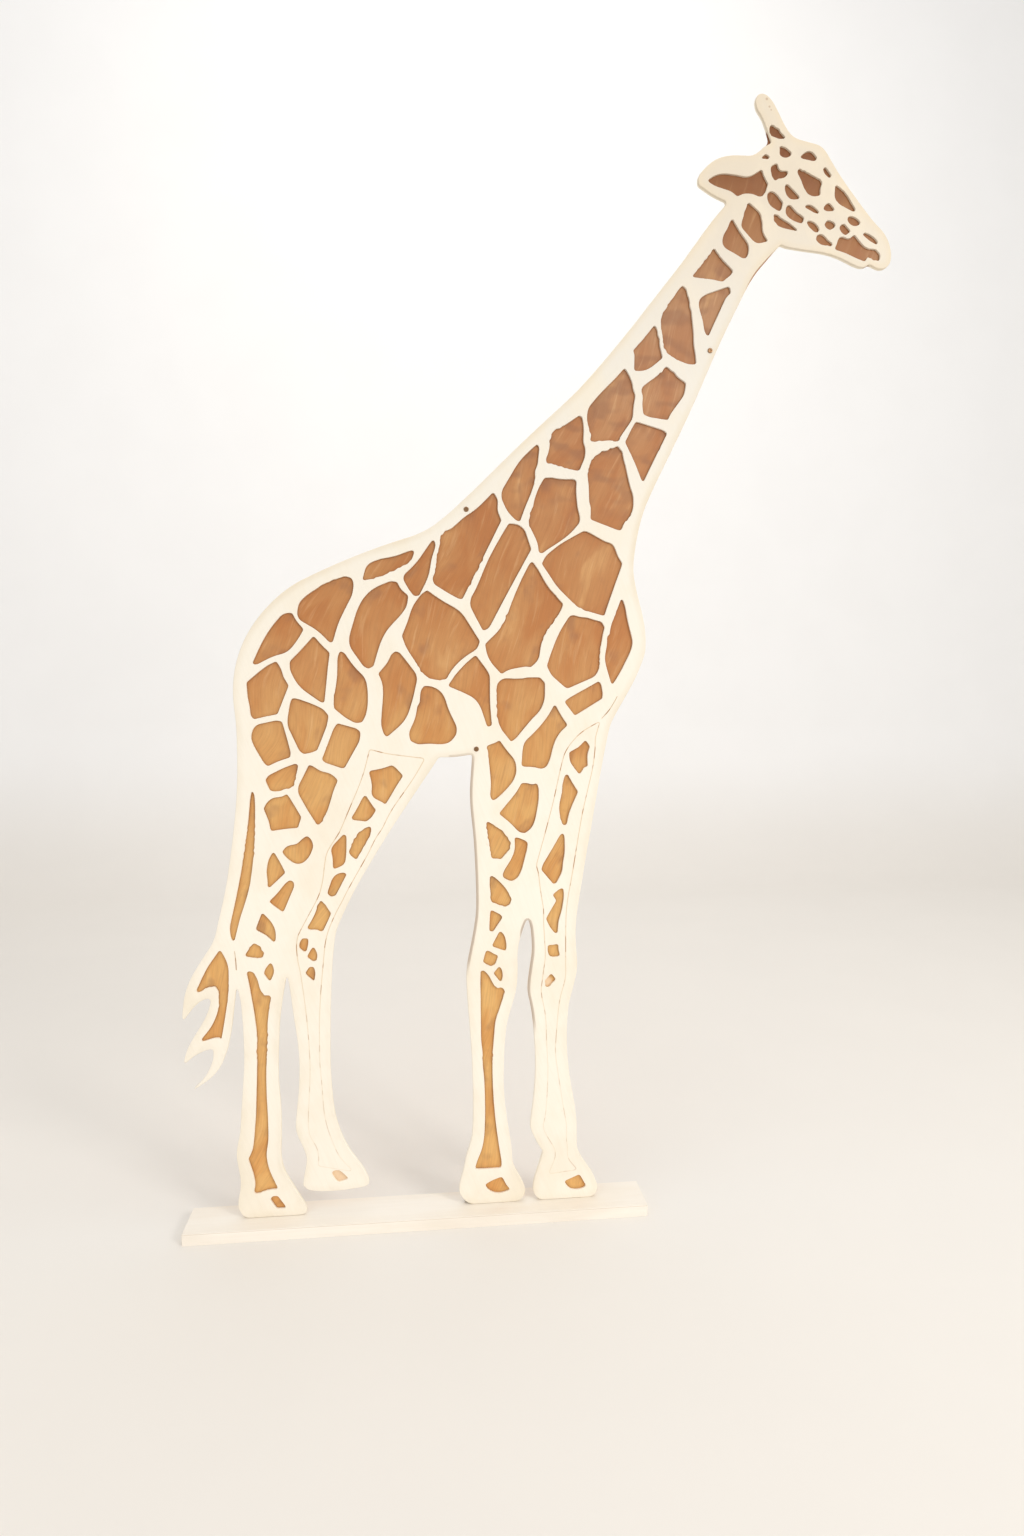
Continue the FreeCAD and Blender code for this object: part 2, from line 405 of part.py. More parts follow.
NEAR_FRONT_LEG_OPENINGS = [
    [(140, 845.5), (152, 828), (168, 810), (169.5, 789), (164, 775), (150, 758),
     (133, 743), (127, 741.5), (123.5, 750), (125.5, 770), (120, 830), (117, 835),
     (124, 838), (131, 840)],
    [(236, 908), (246, 889), (258.5, 871), (243, 857), (234, 838), (228, 812),
     (222, 799), (213, 795), (200, 799), (182, 799.5), (178, 802), (180, 830),
     (183, 842), (206, 864), (224, 886)],
    [(178, 771), (188, 771), (196, 768), (205, 770.5), (208, 763), (208.5, 742),
     (202, 706), (196, 692), (184, 683.5), (174, 685.5), (162, 699), (139, 718.5),
     (170, 756)],
    [(116.5, 706.5), (125, 702), (148, 685), (159, 667), (155, 652), (141, 639),
     (126, 641.5), (123, 662), (118, 694)],
    [(166, 677), (172, 676), (184, 671), (189, 667), (188, 655), (183, 637),
     (179, 620), (172, 606), (163, 600), (157, 600.5), (147, 606), (145, 612),
     (148, 619), (161, 640), (167, 655)],
    [(123, 610), (128, 609.5), (136, 603), (150, 589), (158, 574), (160.5, 565),
     (155, 557.5), (146, 556.5), (127, 564), (125, 569), (124.5, 580), (122.5, 592)],
    [(124, 550), (129, 548), (142, 541), (145, 536), (134, 520), (129, 512),
     (122, 511.5), (122, 520), (123, 540)],
    [(140, 512.5), (146, 508), (150, 499), (152, 486), (151, 477), (147, 477.5),
     (128, 484.5), (127, 488)],
    [(116.5, 478.5), (121, 477.5), (137.5, 467), (129, 451.5), (125, 450),
     (110.5, 457.5), (114, 472)],
    [(139, 450), (143.5, 444), (145.5, 432), (143, 422.5), (140, 422.5), (129, 437.5)],
    # long stripe down the shin
    [(106.5, 443), (112, 443), (120, 435), (130, 415), (137, 409), (147, 411),
     (147.5, 400), (141, 378), (131.5, 352), (129.5, 320), (126.5, 292), (126.5, 272),
     (127.5, 230), (131, 178), (139, 118), (143, 95), (142.5, 84), (120, 83.5),
     (95.5, 84.5), (99, 98), (109, 122), (112.5, 145), (114, 180), (113.5, 225),
     (112, 255), (109.5, 275), (110, 295), (107, 318), (106.5, 390), (106, 425)],
    # hoof
    [(143.5, 67.5), (147, 61), (151, 52), (159, 42.5), (150, 39.5), (138, 37),
     (126, 40), (117, 47), (113.5, 55), (128, 63)],
]

FAR_HOOF_OPENINGS = [
    [(283, 63.5), (287, 58), (290, 52), (296, 41), (290, 37), (278, 35), (268, 37),
     (262, 42), (257.5, 49), (257, 53), (270, 58)],
    [(-151, 97), (-141, 97), (-124.5, 80.5), (-143, 75.5), (-147, 79), (-154.5, 92)],
]

# --------------------------------------------------------- inlaid strips

FAR_HIND_INLAY = [
    (-81, 831), (-70, 828), (-50, 823), (-20, 819), (12, 815),
    (5, 802), (-8, 780), (-25, 756), (-42, 732), (-53, 713), (-60, 697), (-73, 679),
    (-84, 655), (-96, 634), (-108, 613), (-120, 592), (-131, 570), (-140, 554),
    (-150, 532), (-156, 516), (-160, 498), (-163.5, 463), (-168, 420), (-171, 374),
    (-171.5, 348), (-172, 290), (-169, 256), (-167, 216), (-165, 195), (-160.5, 174),
    (-155, 157), (-145, 130), (-139, 119), (-128, 106), (-116, 93),
    (-177, 107), (-176, 122), (-177, 132), (-180, 142), (-185, 151), (-190, 160),
    (-192.5, 172), (-193, 190), (-190.5, 234), (-188, 276), (-189, 318), (-192, 364),
    (-196, 404), (-202, 452), (-206, 470), (-208, 495), (-206, 513), (-183, 556),
    (-175, 570), (-167, 587), (-161.5, 610), (-158, 640), (-155, 655), (-149.5, 665),
    (-141, 678), (-133, 690), (-127, 704), (-110, 744), (-103, 760), (-95, 780),
    (-90, 795), (-84, 818),
]
FAR_HIND_INLAY_OPENINGS = [
    [(-44, 803.5), (-39, 801), (-25, 785.5), (-35, 771), (-50, 745), (-56, 736),
     (-59, 740), (-75, 748), (-79, 756), (-77, 769), (-80, 783), (-82.5, 791),
     (-80, 794.5), (-60, 798)],
    [(-89, 754), (-81, 741), (-71.5, 727), (-80, 714), (-88, 708), (-98, 709.5),
     (-111, 711), (-112.5, 715), (-103, 730), (-94, 748)],
    [(-126, 687), (-121.5, 684), (-122, 655), (-124, 639), (-129, 633),
     (-144.5, 626.5), (-145, 647), (-148, 660), (-144, 668)],
    [(-81, 700.5), (-79.5, 694), (-82, 684), (-103, 647), (-105, 642), (-115, 650),
     (-118, 656), (-113, 667), (-100, 690.5)],
    [(-136, 620), (-127, 621), (-121.5, 619), (-141, 582), (-148, 579.5),
     (-154.5, 584), (-154, 589), (-147, 609), (-143, 615)],
    [(-166, 576), (-149, 551.5), (-153, 542), (-163, 521), (-167, 520), (-173, 523.5),
     (-187, 524), (-189.5, 527), (-178, 546)],
    [(-198, 509), (-188, 509), (-188, 500), (-191, 487.5), (-195, 485.5), (-203, 493),
     (-203, 501)],
    [(-179, 495), (-172.5, 481), (-175, 469.5), (-181, 469), (-190.5, 476.5),
     (-184, 489)],
    [(-187, 459), (-180, 459.5), (-176.5, 450), (-179, 434.5), (-182, 436),
     (-194, 448)],
]

FAR_FRONT_INLAY = [
    (316, 878), (301, 870), (287, 862), (275, 852), (261, 836), (253, 822), (249, 808),
    (243, 782), (235, 744), (229, 720), (218, 678), (206, 635), (204, 626), (208, 614),
    (209.5, 598), (212.5, 576), (217.5, 547), (217, 528), (219, 495), (221, 465),
    (217.5, 441), (213, 406), (214, 394), (220, 366), (222, 347), (223, 309),
    (226, 262), (225, 230), (223.5, 200), (221, 173), (217.5, 160), (217.5, 153),
    (221.5, 143), (235, 120), (239, 112), (239.5, 100), (237.5, 92), (232, 80),
    (227.5, 68),
    (280, 73), (271, 83), (263.5, 93), (261, 103), (261.5, 116), (259, 131),
    (260, 147), (259, 161), (254, 188), (249, 219), (243.5, 255), (240, 278),
    (238.5, 296), (240.5, 325), (243.5, 365), (247, 391), (254.5, 416), (257, 430),
    (256.5, 458), (256.5, 513), (257, 543), (260, 569), (267.5, 609), (276, 664),
    (285, 718), (290, 740), (302, 792), (305, 810), (307, 832), (307, 848),
    (309, 856), (313, 870),
]
FAR_FRONT_INLAY_OPENINGS = [
    [(290, 845.5), (298, 834), (293, 820), (294.5, 799), (288, 798), (280, 784.5),
     (262, 808), (261.5, 824), (279, 833)],
    [(257, 788), (269, 768), (277.5, 755), (262, 720), (257.5, 698), (252, 696.5),
     (247.5, 706), (243, 729), (249, 752), (252, 775)],
    [(251, 684), (254, 676), (254.5, 648), (251, 630), (250.5, 616), (240, 595),
     (235, 592.5), (213, 619), (216, 629), (232, 655), (245, 678)],
    [(252, 586), (246, 584.5), (237, 577.5), (233, 574), (240, 564), (230, 547),
     (221.5, 532), (229, 516), (238, 505), (242.5, 506), (243, 525), (250, 547),
     (253.5, 572)],
    [(225, 485), (232, 484.5), (243.5, 486.5), (244, 474), (247, 464.5), (234, 463),
     (228, 465), (224.5, 474)],
    [(231, 434), (239.5, 423), (225, 409), (222, 411), (219.5, 421)],
]

# ------------------------------------------- single saw cuts in the fretwork

SAW_CUTS = [
    # between the tail and the thigh
    [(-310.5, 492), (-308.5, 475), (-308, 457)],
    # from the top of the far front leg into the chest
    [(317.5, 882), (331, 896), (339, 909), (346, 922)],
]


# ------------------------------------------------------------ plane geometry

def flat(point):
    """Vector in a sketch's plane from an (x, height) pair."""
    return FreeCAD.Vector(point[0], point[1], 0)


def signed_area(points):
    """Area of a ring of points, positive when it runs counter-clockwise."""
    total = 0
    for here, after in zip(points, points[1:] + points[:1]):
        total += here[0] * after[1] - after[0] * here[1]
    return total / 2


def side_step(before, here, after, distance):
    """A point moved square to its ring, to the left of the way round."""
    run_in = (flat(here) - flat(before)).normalize()
    run_out = (flat(after) - flat(here)).normalize()
    left_in = FreeCAD.Vector(-run_in.y, run_in.x, 0)
    left_out = FreeCAD.Vector(-run_out.y, run_out.x, 0)
    middle = (left_in + left_out).normalize()
    moved = flat(here) + middle * (distance / max(middle.dot(left_in), 0.5))
    return (moved.x, moved.y)


def inset(points, distance):
    """A ring of points drawn in by the given distance."""
    inward = distance if signed_area(points) > 0 else -distance
    befores = points[-1:] + points[:-1]
    afters = points[1:] + points[:1]
    return [
        side_step(before, here, after, inward)
        for before, here, after in zip(befores, points, afters)
    ]


def saw_cut_outline(path, width):
    """Ring round an open path, for one cut of a thin blade."""
    befores = [path[0]] + path[:-1]
    afters = path[1:] + [path[-1]]
    sides = {1: [], -1: []}
    for before, here, after in zip(befores, path, afters):
        run = (flat(after) - flat(before)).normalize()
        for sign, side in sides.items():
            side.append((here[0] - sign * run.y * width / 2, here[1] + sign * run.x * width / 2))
    return sides[1] + sides[-1][::-1]


def bend_at(before, here, after, corner_radius):
    """Start, middle and end of the arc that rounds one point of a ring."""
    run_in = flat(here) - flat(before)
    run_out = flat(after) - flat(here)
    turn = run_in.getAngle(run_out)
    if turn < STRAIGHT_TURN:
        return [flat(here)]
    reach = BEND_SHARE * min(run_in.Length, run_out.Length)
    radius = reach / math.tan(turn / 2)
    if turn > SMOOTH_TURN:
        radius = min(radius, corner_radius)
    reach = radius * math.tan(turn / 2)
    run_in.normalize()
    run_out.normalize()
    toward_centre = (run_out - run_in).normalize()
    start = flat(here) - run_in * reach
    end = flat(here) + run_out * reach
    middle = flat(here) + toward_centre * (math.hypot(radius, reach) - radius)
    return [start, middle, end]


def rounded_ring(points, corner_radius):
    """Straight runs joined by tangent arcs, all the way round."""
    befores = points[-1:] + points[:-1]
    afters = points[1:] + points[:1]
    bends = [
        bend_at(before, here, after, corner_radius)
        for before, here, after in zip(befores, points, afters)
    ]
    curves = []
    for bend, next_bend in zip(bends, bends[1:] + bends[:1]):
        if len(bend) == 3:
            curves.append(Part.Arc(*bend))
        curves.append(Part.LineSegment(bend[-1], next_bend[0]))
    return curves


def ring_area(curves):
    """Area inside a ring of curves."""
    wire = Part.Wire([curve.toShape() for curve in curves])
    return Part.Face(wire).Area


# --------------------------------------------------------- building features

def cell(alias):
    """Expression that names one cell of the sheet."""
    return "Dimensions." + alias


def new_body(name):
    """Empty body whose Label is also the name of its file."""
    body = document.addObject("PartDesign::Body", name)
    body.Label = name
    return body


def new_sketch(body, name, role):
    """Sketch on one of the body's own origin planes."""
    planes = {feature.Role: feature for feature in body.Origin.OriginFeatures}
    sketch = body.newObject("Sketcher::SketchObject", name)
    sketch.AttachmentSupport = [(planes[role], "")]
    sketch.MapMode = "FlatFace"
    return sketch


def extrude(body, kind, sketch, name, length, against_normal=False):
    """Pad or Pocket of a sketch, its length bound to an expression."""
    feature = body.newObject("PartDesign::" + kind, name)
    feature.Profile = sketch
    feature.setExpression("Length", length)
    feature.Reversed = against_normal
    feature.Refine = False
    sketch.Visibility = False
    document.recompute()
    return feature


def cut_checked(body, sketch, name, length, against_normal, area):
    """Pocket that must take away the given area over its whole length."""
    volume_before = body.Shape.Volume
    pocket = extrude(body, "Pocket", sketch, name, length, against_normal)
    expected = area * pocket.Length.Value
    removed = volume_before - body.Shape.Volume
    if abs(removed - expected) > 0.01 * expected:
        raise RuntimeError("%s took away %.1f, not %.1f" % (name, removed, expected))
    return pocket


def add_hole(sketch, across, up, diameter):
    """Circle whose place and size are bound to expressions."""
    centre = FreeCAD.Vector(
        float(sketch.evalExpression(across)), float(sketch.evalExpression(up)), 0
    )
    radius = float(sketch.evalExpression(diameter)) / 2
    circle = Part.Circle(centre, FreeCAD.Vector(0, 0, 1), radius)
    curve = sketch.addGeometry(circle, False)
    for kind, expression, value in (("DistanceX", across, centre.x), ("DistanceY", up, centre.y)):
        number = sketch.addConstraint(Sketcher.Constraint(kind, -1, 1, curve, 3, value))
        sketch.setExpression("Constraints[%d]" % number, expression)
    number = sketch.addConstraint(Sketcher.Constraint("Diameter", curve, 2 * radius))
    sketch.setExpression("Constraints[%d]" % number, diameter)
    return math.pi * radius * radius


def stand_on_base(body):
    """Keeps a body whose outline is drawn from the floor on top of the plank."""
    lift = "%s - %s" % (cell("base_thickness"), cell("outline_foot_level"))
    body.setExpression("Placement.Base.z", lift)


def panel(name, outline, openings, thickness, against_normal):
    """Flat panel cut to an outline and pierced by openings, inner face at Y = 0."""
    body = new_body(name)
    sketch = new_sketch(body, name + "_outline", "XZ_Plane")
    rim = rounded_ring(outline, size("saw_round"))
    sketch.addGeometry(rim, False)
    area = ring_area(rim)
    for opening in openings:
        ring = rounded_ring(opening, size("saw_round"))
        sketch.addGeometry(ring, False)
        area -= ring_area(ring)
    board = extrude(body, "Pad", sketch, name + "_board", cell(thickness), against_normal)
    expected = area * board.Length.Value
    if abs(body.Shape.Volume - expected) > 0.001 * expected:
        raise RuntimeError("%s has %.1f, not %.1f" % (name, body.Shape.Volume, expected))
    stand_on_base(body)
    return body


FACE_SCREWS = ("neck_screw", "withers_screw", "belly_screw")
# A round hole in the fretwork's sketch is a ring of this many tangent arcs.
HOLE_POINTS = 12
BRACKETS = ("near_hind_bracket", "near_front_bracket", "far_front_bracket")
SIDES = (("left", -1), ("right", 1))


def drill_face_screws(body, depth, against_normal):
    """Holes for the three screws on the giraffe's face."""
    sketch = new_sketch(body, body.Name + "_face_holes", "XZ_Plane")
    area = 0
    for screw in FACE_SCREWS:
        area += add_hole(
            sketch, cell(screw + "_x"), cell(screw + "_z"), cell("face_shank_diameter")
        )
    cut_checked(body, sketch, body.Name + "_face_drilling", depth, against_normal, area)


def bracket_hole_across(bracket, side):
    """Expression for the X of one hole of a bracket."""
    return "%s + %d * %s / 2" % (cell(bracket + "_x"), side, cell("bracket_hole_spacing"))


def drill_panel_pilots(body, depth, against_normal):
    """Holes for the screws that come through the brackets' upright legs."""
    sketch = new_sketch(body, body.Name + "_pilot_holes", "XZ_Plane")
    up = "%s + %s" % (cell("outline_foot_level"), cell("bracket_hole_offset"))
    area = 0
    for bracket in BRACKETS:
        for _, side in SIDES:
            across = bracket_hole_across(bracket, side)
            area += add_hole(sketch, across, up, cell("fixing_pilot_diameter"))
    cut_checked(body, sketch, body.Name + "_pilot_drilling", depth, against_normal, area)


# ------------------------------------------------------------------ the parts

def build_base_board():
    """Plank under the hooves, sanded round at its edges."""
    body = new_body("base_board")
    sketch = new_sketch(body, "base_outline", "XY_Plane")
    half_length = size("base_length") / 2
    half_depth = size("base_depth") / 2
    corners = [
        FreeCAD.Vector(-half_length, -half_depth, 0),
        FreeCAD.Vector(half_length, -half_depth, 0),
        FreeCAD.Vector(half_length, half_depth, 0),
        FreeCAD.Vector(-half_length, half_depth, 0),
    ]
    for start, end in zip(corners, corners[1:] + corners[:1]):
        sketch.addGeometry(Part.LineSegment(start, end), False)
    for side in range(4):
        sketch.addConstraint(Sketcher.Constraint("Coincident", side, 2, (side + 1) % 4, 1))
    for side, direction in ((0, "Horizontal"), (1, "Vertical"), (2, "Horizontal"), (3, "Vertical")):
        sketch.addConstraint(Sketcher.Constraint(direction, side))
    sketch.addConstraint(Sketcher.Constraint("Symmetric", 0, 1, 1, 2, -1, 1))
    length = sketch.addConstraint(Sketcher.Constraint("DistanceX", 0, 1, 0, 2, 2 * half_length))
    depth = sketch.addConstraint(Sketcher.Constraint("DistanceY", 1, 1, 1, 2, 2 * half_depth))
    sketch.setExpression("Constraints[%d]" % length, cell("base_length"))
    sketch.setExpression("Constraints[%d]" % depth, cell("base_depth"))
    plank = extrude(body, "Pad", sketch, "plank", cell("base_thickness"))
    rounding = body.newObject("PartDesign::Fillet", "sanded_edges")
    top_and_sides = [
        "Edge%d" % number
        for number, edge in enumerate(plank.Shape.Edges, start=1)
        if edge.CenterOfMass.z > 0.1
    ]
    rounding.Base = (plank, top_and_sides)
    rounding.setExpression("Radius", cell("base_edge_round"))
    document.recompute()

    drilling = new_sketch(body, "base_pilot_holes", "XY_Plane")
    drilling.setExpression("AttachmentOffset.Base.z", cell("base_thickness"))
    along_y = "%s + %s" % (cell("back_thickness"), cell("bracket_hole_offset"))
    area = 0
    for bracket in BRACKETS:
        for _, side in SIDES:
            across = bracket_hole_across(bracket, side)
            area += add_hole(drilling, across, along_y, cell("fixing_pilot_diameter"))
    cut_checked(body, drilling, "base_pilot_drilling", cell("base_pilot_depth"), False, area)
    return body


def build_back_panel():
    """Stained panel with the whole outline of the animal."""
    body = panel("back_panel", BACK_OUTLINE, [], "back_thickness", True)
    drill_face_screws(body, cell("face_hole_depth"), False)
    drill_panel_pilots(body, cell("back_thickness"), False)
    return body


def screw_hole_outline(screw):
    """Ring of points round a face screw's hole, close enough to a circle to be one."""
    radius = size("face_shank_diameter") / 2
    turn = 2 * math.pi / HOLE_POINTS
    reach = radius / math.cos(turn / 2)
    return [
        (
            size(screw + "_x") + reach * math.cos(number * turn),
            size(screw + "_z") + reach * math.sin(number * turn),
        )
        for number in range(HOLE_POINTS)
    ]


def build_front_fretwork():
    """Pierced panel on the front, with its spots, saw cuts and inlay beds."""
    openings = (
        HEAD_OPENINGS
        + NECK_OPENINGS
        + SHOULDER_OPENINGS
        + FLANK_OPENINGS
        + RUMP_OPENINGS
        + NEAR_HIND_LEG_OPENINGS
        + TAIL_OPENINGS
        + NEAR_FRONT_LEG_OPENINGS
        + FAR_HOOF_OPENINGS
        + [FAR_HIND_INLAY, FAR_FRONT_INLAY]
        + [saw_cut_outline(path, size("kerf_width")) for path in SAW_CUTS]
        + [screw_hole_outline(screw) for screw in FACE_SCREWS]
    )
    return panel("front_fretwork", FRETWORK_OUTLINE, openings, "fretwork_thickness", False)


def build_inlay(name, outline, openings):
    """Strip that lies in its bed of the fretwork with an open joint all round."""
    strip = inset(outline, size("inlay_gap"))
    return panel(name, strip, openings, "fretwork_thickness", False)


def build_bracket(name):
    """Bent steel angle, one leg on the back panel and one on the plank."""
    body = new_body(name)
    leg = size("bracket_leg")
    gauge = size("bracket_thickness")
    profile = new_sketch(body, name + "_profile", "YZ_Plane")
    corners = [(0, 0), (leg, 0), (leg, gauge), (gauge, gauge), (gauge, leg), (0, leg)]
    points = [flat(corner) for corner in corners]
    for start, end in zip(points, points[1:] + points[:1]):
        profile.addGeometry(Part.LineSegment(start, end), False)
    for side in range(6):
        profile.addConstraint(Sketcher.Constraint("Coincident", side, 2, (side + 1) % 6, 1))
    for side in (0, 2, 4):
        profile.addConstraint(Sketcher.Constraint("Horizontal", side))
        profile.addConstraint(Sketcher.Constraint("Vertical", side + 1))
    profile.addConstraint(Sketcher.Constraint("Coincident", 0, 1, -1, 1))
    # each length: the two ends it is measured between, as line and point numbers
    bound = (
        ("DistanceX", (0, 1, 0, 2), "bracket_leg"),
        ("DistanceY", (1, 1, 1, 2), "bracket_thickness"),
        ("DistanceX", (4, 2, 4, 1), "bracket_thickness"),
        ("DistanceY", (5, 2, 5, 1), "bracket_leg"),
    )
    for kind, ends, alias in bound:
        number = profile.addConstraint(Sketcher.Constraint(kind, *ends, size(alias)))
        profile.setExpression("Constraints[%d]" % number, cell(alias))
    sheet_metal = body.newObject("PartDesign::Pad", name + "_sheet")
    sheet_metal.Profile = profile
    sheet_metal.SideType = "Symmetric"
    sheet_metal.setExpression("Length", cell("bracket_width"))
    document.recompute()

    round_edges(body, name + "_inner_bend", "bracket_bend", inner_bend_edge)
    round_edges(body, name + "_outer_bend", "bracket_bend", outer_bend_edge)
    round_edges(body, name + "_corners", "bracket_corner", free_corner_edge)

    half_spacing = "%s / 2" % cell("bracket_hole_spacing")
    for plane, against_normal in (("XY_Plane", True), ("XZ_Plane", False)):
        sketch = new_sketch(body, "%s_%s_holes" % (name, plane[:2].lower()), plane)
        area = 0
        for _, side in SIDES:
            across = "%d * %s" % (side, half_spacing)
            area += add_hole(
                sketch, across, cell("bracket_hole_offset"), cell("bracket_hole_diameter")
            )
        label = "%s_%s_drilling" % (name, plane[:2].lower())
        cut_checked(body, sketch, label, cell("bracket_thickness"), against_normal, area)

    body.setExpression("Placement.Base.x", cell(name + "_x"))
    body.setExpression("Placement.Base.y", cell("back_thickness"))
    body.setExpression("Placement.Base.z", cell("base_thickness"))
    return body


def along(edge, axis):
    """Whether a straight edge runs along one axis, 0 for X, 1 for Y, 2 for Z."""
    ends = [vertex.Point for vertex in edge.Vertexes]
    if len(ends) != 2 or not isinstance(edge.Curve, Part.Line):
        return False
    run = ends[1] - ends[0]
    return abs(abs(run[axis]) - run.Length) < 0.001


def inner_bend_edge(edge):
    """Edge in the inside of the bend."""
    middle = edge.CenterOfMass
    gauge = size("bracket_thickness")
    return along(edge, 0) and abs(middle.y - gauge) < 0.01 and abs(middle.z - gauge) < 0.01


def outer_bend_edge(edge):
    """Edge on the outside of the bend."""
    middle = edge.CenterOfMass
    return along(edge, 0) and abs(middle.y) < 0.01 and abs(middle.z) < 0.01


def free_corner_edge(edge):
    """Short edge at a free corner of either leg."""
    middle = edge.CenterOfMass
    leg = size("bracket_leg")
    on_foot = along(edge, 2) and abs(middle.y - leg) < 0.01
    on_upright = along(edge, 1) and abs(middle.z - leg) < 0.01
    return on_foot or on_upright


def round_edges(body, name, radius, wanted):
    """Fillet on the edges of a body's last feature that a test picks."""
    base = body.Tip
    names = [
        "Edge%d" % number
        for number, edge in enumerate(base.Shape.Edges, start=1)
        if wanted(edge)
    ]
    if not names:
        raise RuntimeError("no edge found for " + name)
    fillet = body.newObject("PartDesign::Fillet", name)
    fillet.Base = (base, names)
    fillet.setExpression("Radius", cell(radius))
    document.recompute()
    return fillet


def build_screw(name, kind, length):
    """Pan-head screw along its own Z, the underside of its head at Z = 0."""
    body = new_body(name)
    head_diameter = cell(kind + "_head_diameter")
    head_height = cell(kind + "_head_height")
    shank_diameter = cell(kind + "_shank_diameter")

    head = body.newObject("PartDesign::AdditiveCylinder", name + "_head")
    head.setExpression("Radius", head_diameter + " / 2")
    head.setExpression("Height", head_height)
    document.recompute()
    top = size(kind + "_head_height")
    rim = [
        "Edge%d" % number
        for number, edge in enumerate(head.Shape.Edges, start=1)
        if isinstance(edge.Curve, Part.Circle) and abs(edge.Curve.Center.z - top) < 0.01
    ]
    dome = body.newObject("PartDesign::Fillet", name + "_dome")
    dome.Base = (head, rim)
    dome.setExpression("Radius", "%s * %s" % (head_height, cell("dome_share")))
    document.recompute()

    shank = body.newObject("PartDesign::AdditiveCylinder", name + "_shank")
    shank.setExpression("Radius", shank_diameter + " / 2")
    shank.setExpression("Height", length)
    shank.setExpression("Placement.Base.z", "-" + length)
    tip = body.newObject("PartDesign::AdditiveCone", name + "_tip")
    tip.setExpression("Radius1", shank_diameter + " / 8")
    tip.setExpression("Radius2", shank_diameter + " / 2")
    tip.setExpression("Height", cell("screw_tip"))
    tip.setExpression("Placement.Base.z", "-%s - %s" % (length, cell("screw_tip")))
    document.recompute()

    long_side = "%s * %s" % (head_diameter, cell("recess_length_share"))
    short_side = "%s * %s" % (head_diameter, cell("recess_width_share"))
    depth = "%s * %s" % (head_height, cell("recess_depth_share"))
    for label, along_x, along_y in (("a", long_side, short_side), ("b", short_side, long_side)):
        slot = body.newObject("PartDesign::SubtractiveBox", "%s_recess_%s" % (name, label))
        slot.setExpression("Length", along_x)
        slot.setExpression("Width", along_y)
        slot.setExpression("Height", head_height)
        slot.setExpression("Placement.Base.x", "-(%s) / 2" % along_x)
        slot.setExpression("Placement.Base.y", "-(%s) / 2" % along_y)
        slot.setExpression("Placement.Base.z", "%s - %s" % (head_height, depth))
        document.recompute()
    return body


def place(body, across, along_y, up, rotation):
    """Turns a body and binds its place to expressions."""
    body.Placement = FreeCAD.Placement(FreeCAD.Vector(0, 0, 0), rotation)
    body.setExpression("Placement.Base.x", across)
    body.setExpression("Placement.Base.y", along_y)
    body.setExpression("Placement.Base.z", up)


HEAD_TO_FRONT = FreeCAD.Rotation(FreeCAD.Vector(1, 0, 0), 90)
HEAD_TO_REAR = FreeCAD.Rotation(FreeCAD.Vector(1, 0, 0), -90)
HEAD_UP = FreeCAD.Rotation()


def build_face_screws():
    """Three screws whose heads show on the giraffe's front."""
    bodies = []
    lift = "%s - %s" % (cell("base_thickness"), cell("outline_foot_level"))
    for name in FACE_SCREWS:
        body = build_screw(name, "face", cell("face_shank_length"))
        up = "%s + %s" % (cell(name + "_z"), lift)
        place(body, cell(name + "_x"), "-" + cell("fretwork_thickness"), up, HEAD_TO_FRONT)
        bodies.append(body)
    return bodies


def build_bracket_screws(bracket):
    """Two screws into the panels and two into the plank for one bracket."""
    bodies = []
    behind = "%s + %s" % (cell("back_thickness"), cell("bracket_thickness"))
    upright = "%s + %s" % (cell("base_thickness"), cell("bracket_hole_offset"))
    on_foot = "%s + %s" % (cell("base_thickness"), cell("bracket_thickness"))
    out = "%s + %s" % (cell("back_thickness"), cell("bracket_hole_offset"))
    for side_name, side in SIDES:
        across = bracket_hole_across(bracket, side)
        panel_screw = build_screw(
            "%s_panel_screw_%s" % (bracket, side_name), "fixing", cell("panel_screw_length")
        )
        place(panel_screw, across, behind, upright, HEAD_TO_REAR)
        base_screw = build_screw(
            "%s_base_screw_%s" % (bracket, side_name), "fixing", cell("base_screw_length")
        )
        place(base_screw, across, out, on_foot, HEAD_UP)
        bodies += [panel_screw, base_screw]
    return bodies


def build_everything():
    """All sub-parts, each a body of its own."""
    bodies = [build_base_board(), build_back_panel(), build_front_fretwork()]
    bodies.append(build_inlay("far_hind_leg_inlay", FAR_HIND_INLAY, FAR_HIND_INLAY_OPENINGS))
    bodies.append(build_inlay("far_front_leg_inlay", FAR_FRONT_INLAY, FAR_FRONT_INLAY_OPENINGS))
    bodies += build_face_screws()
    for bracket in BRACKETS:
        bodies.append(build_bracket(bracket))
        bodies += build_bracket_screws(bracket)
    document.recompute()
    return bodies


def check_document(bodies):
    """Stops if any object failed or any sub-part is not one valid solid."""
    for item in document.Objects:
        if "Invalid" in item.State or "Error" in item.State:
            raise RuntimeError("%s is in state %s" % (item.Name, item.State))
    for body in bodies:
        shape = body.Shape
        if shape.isNull() or not shape.isValid() or len(shape.Solids) != 1:
            raise RuntimeError("%s is not one valid solid" % body.Label)


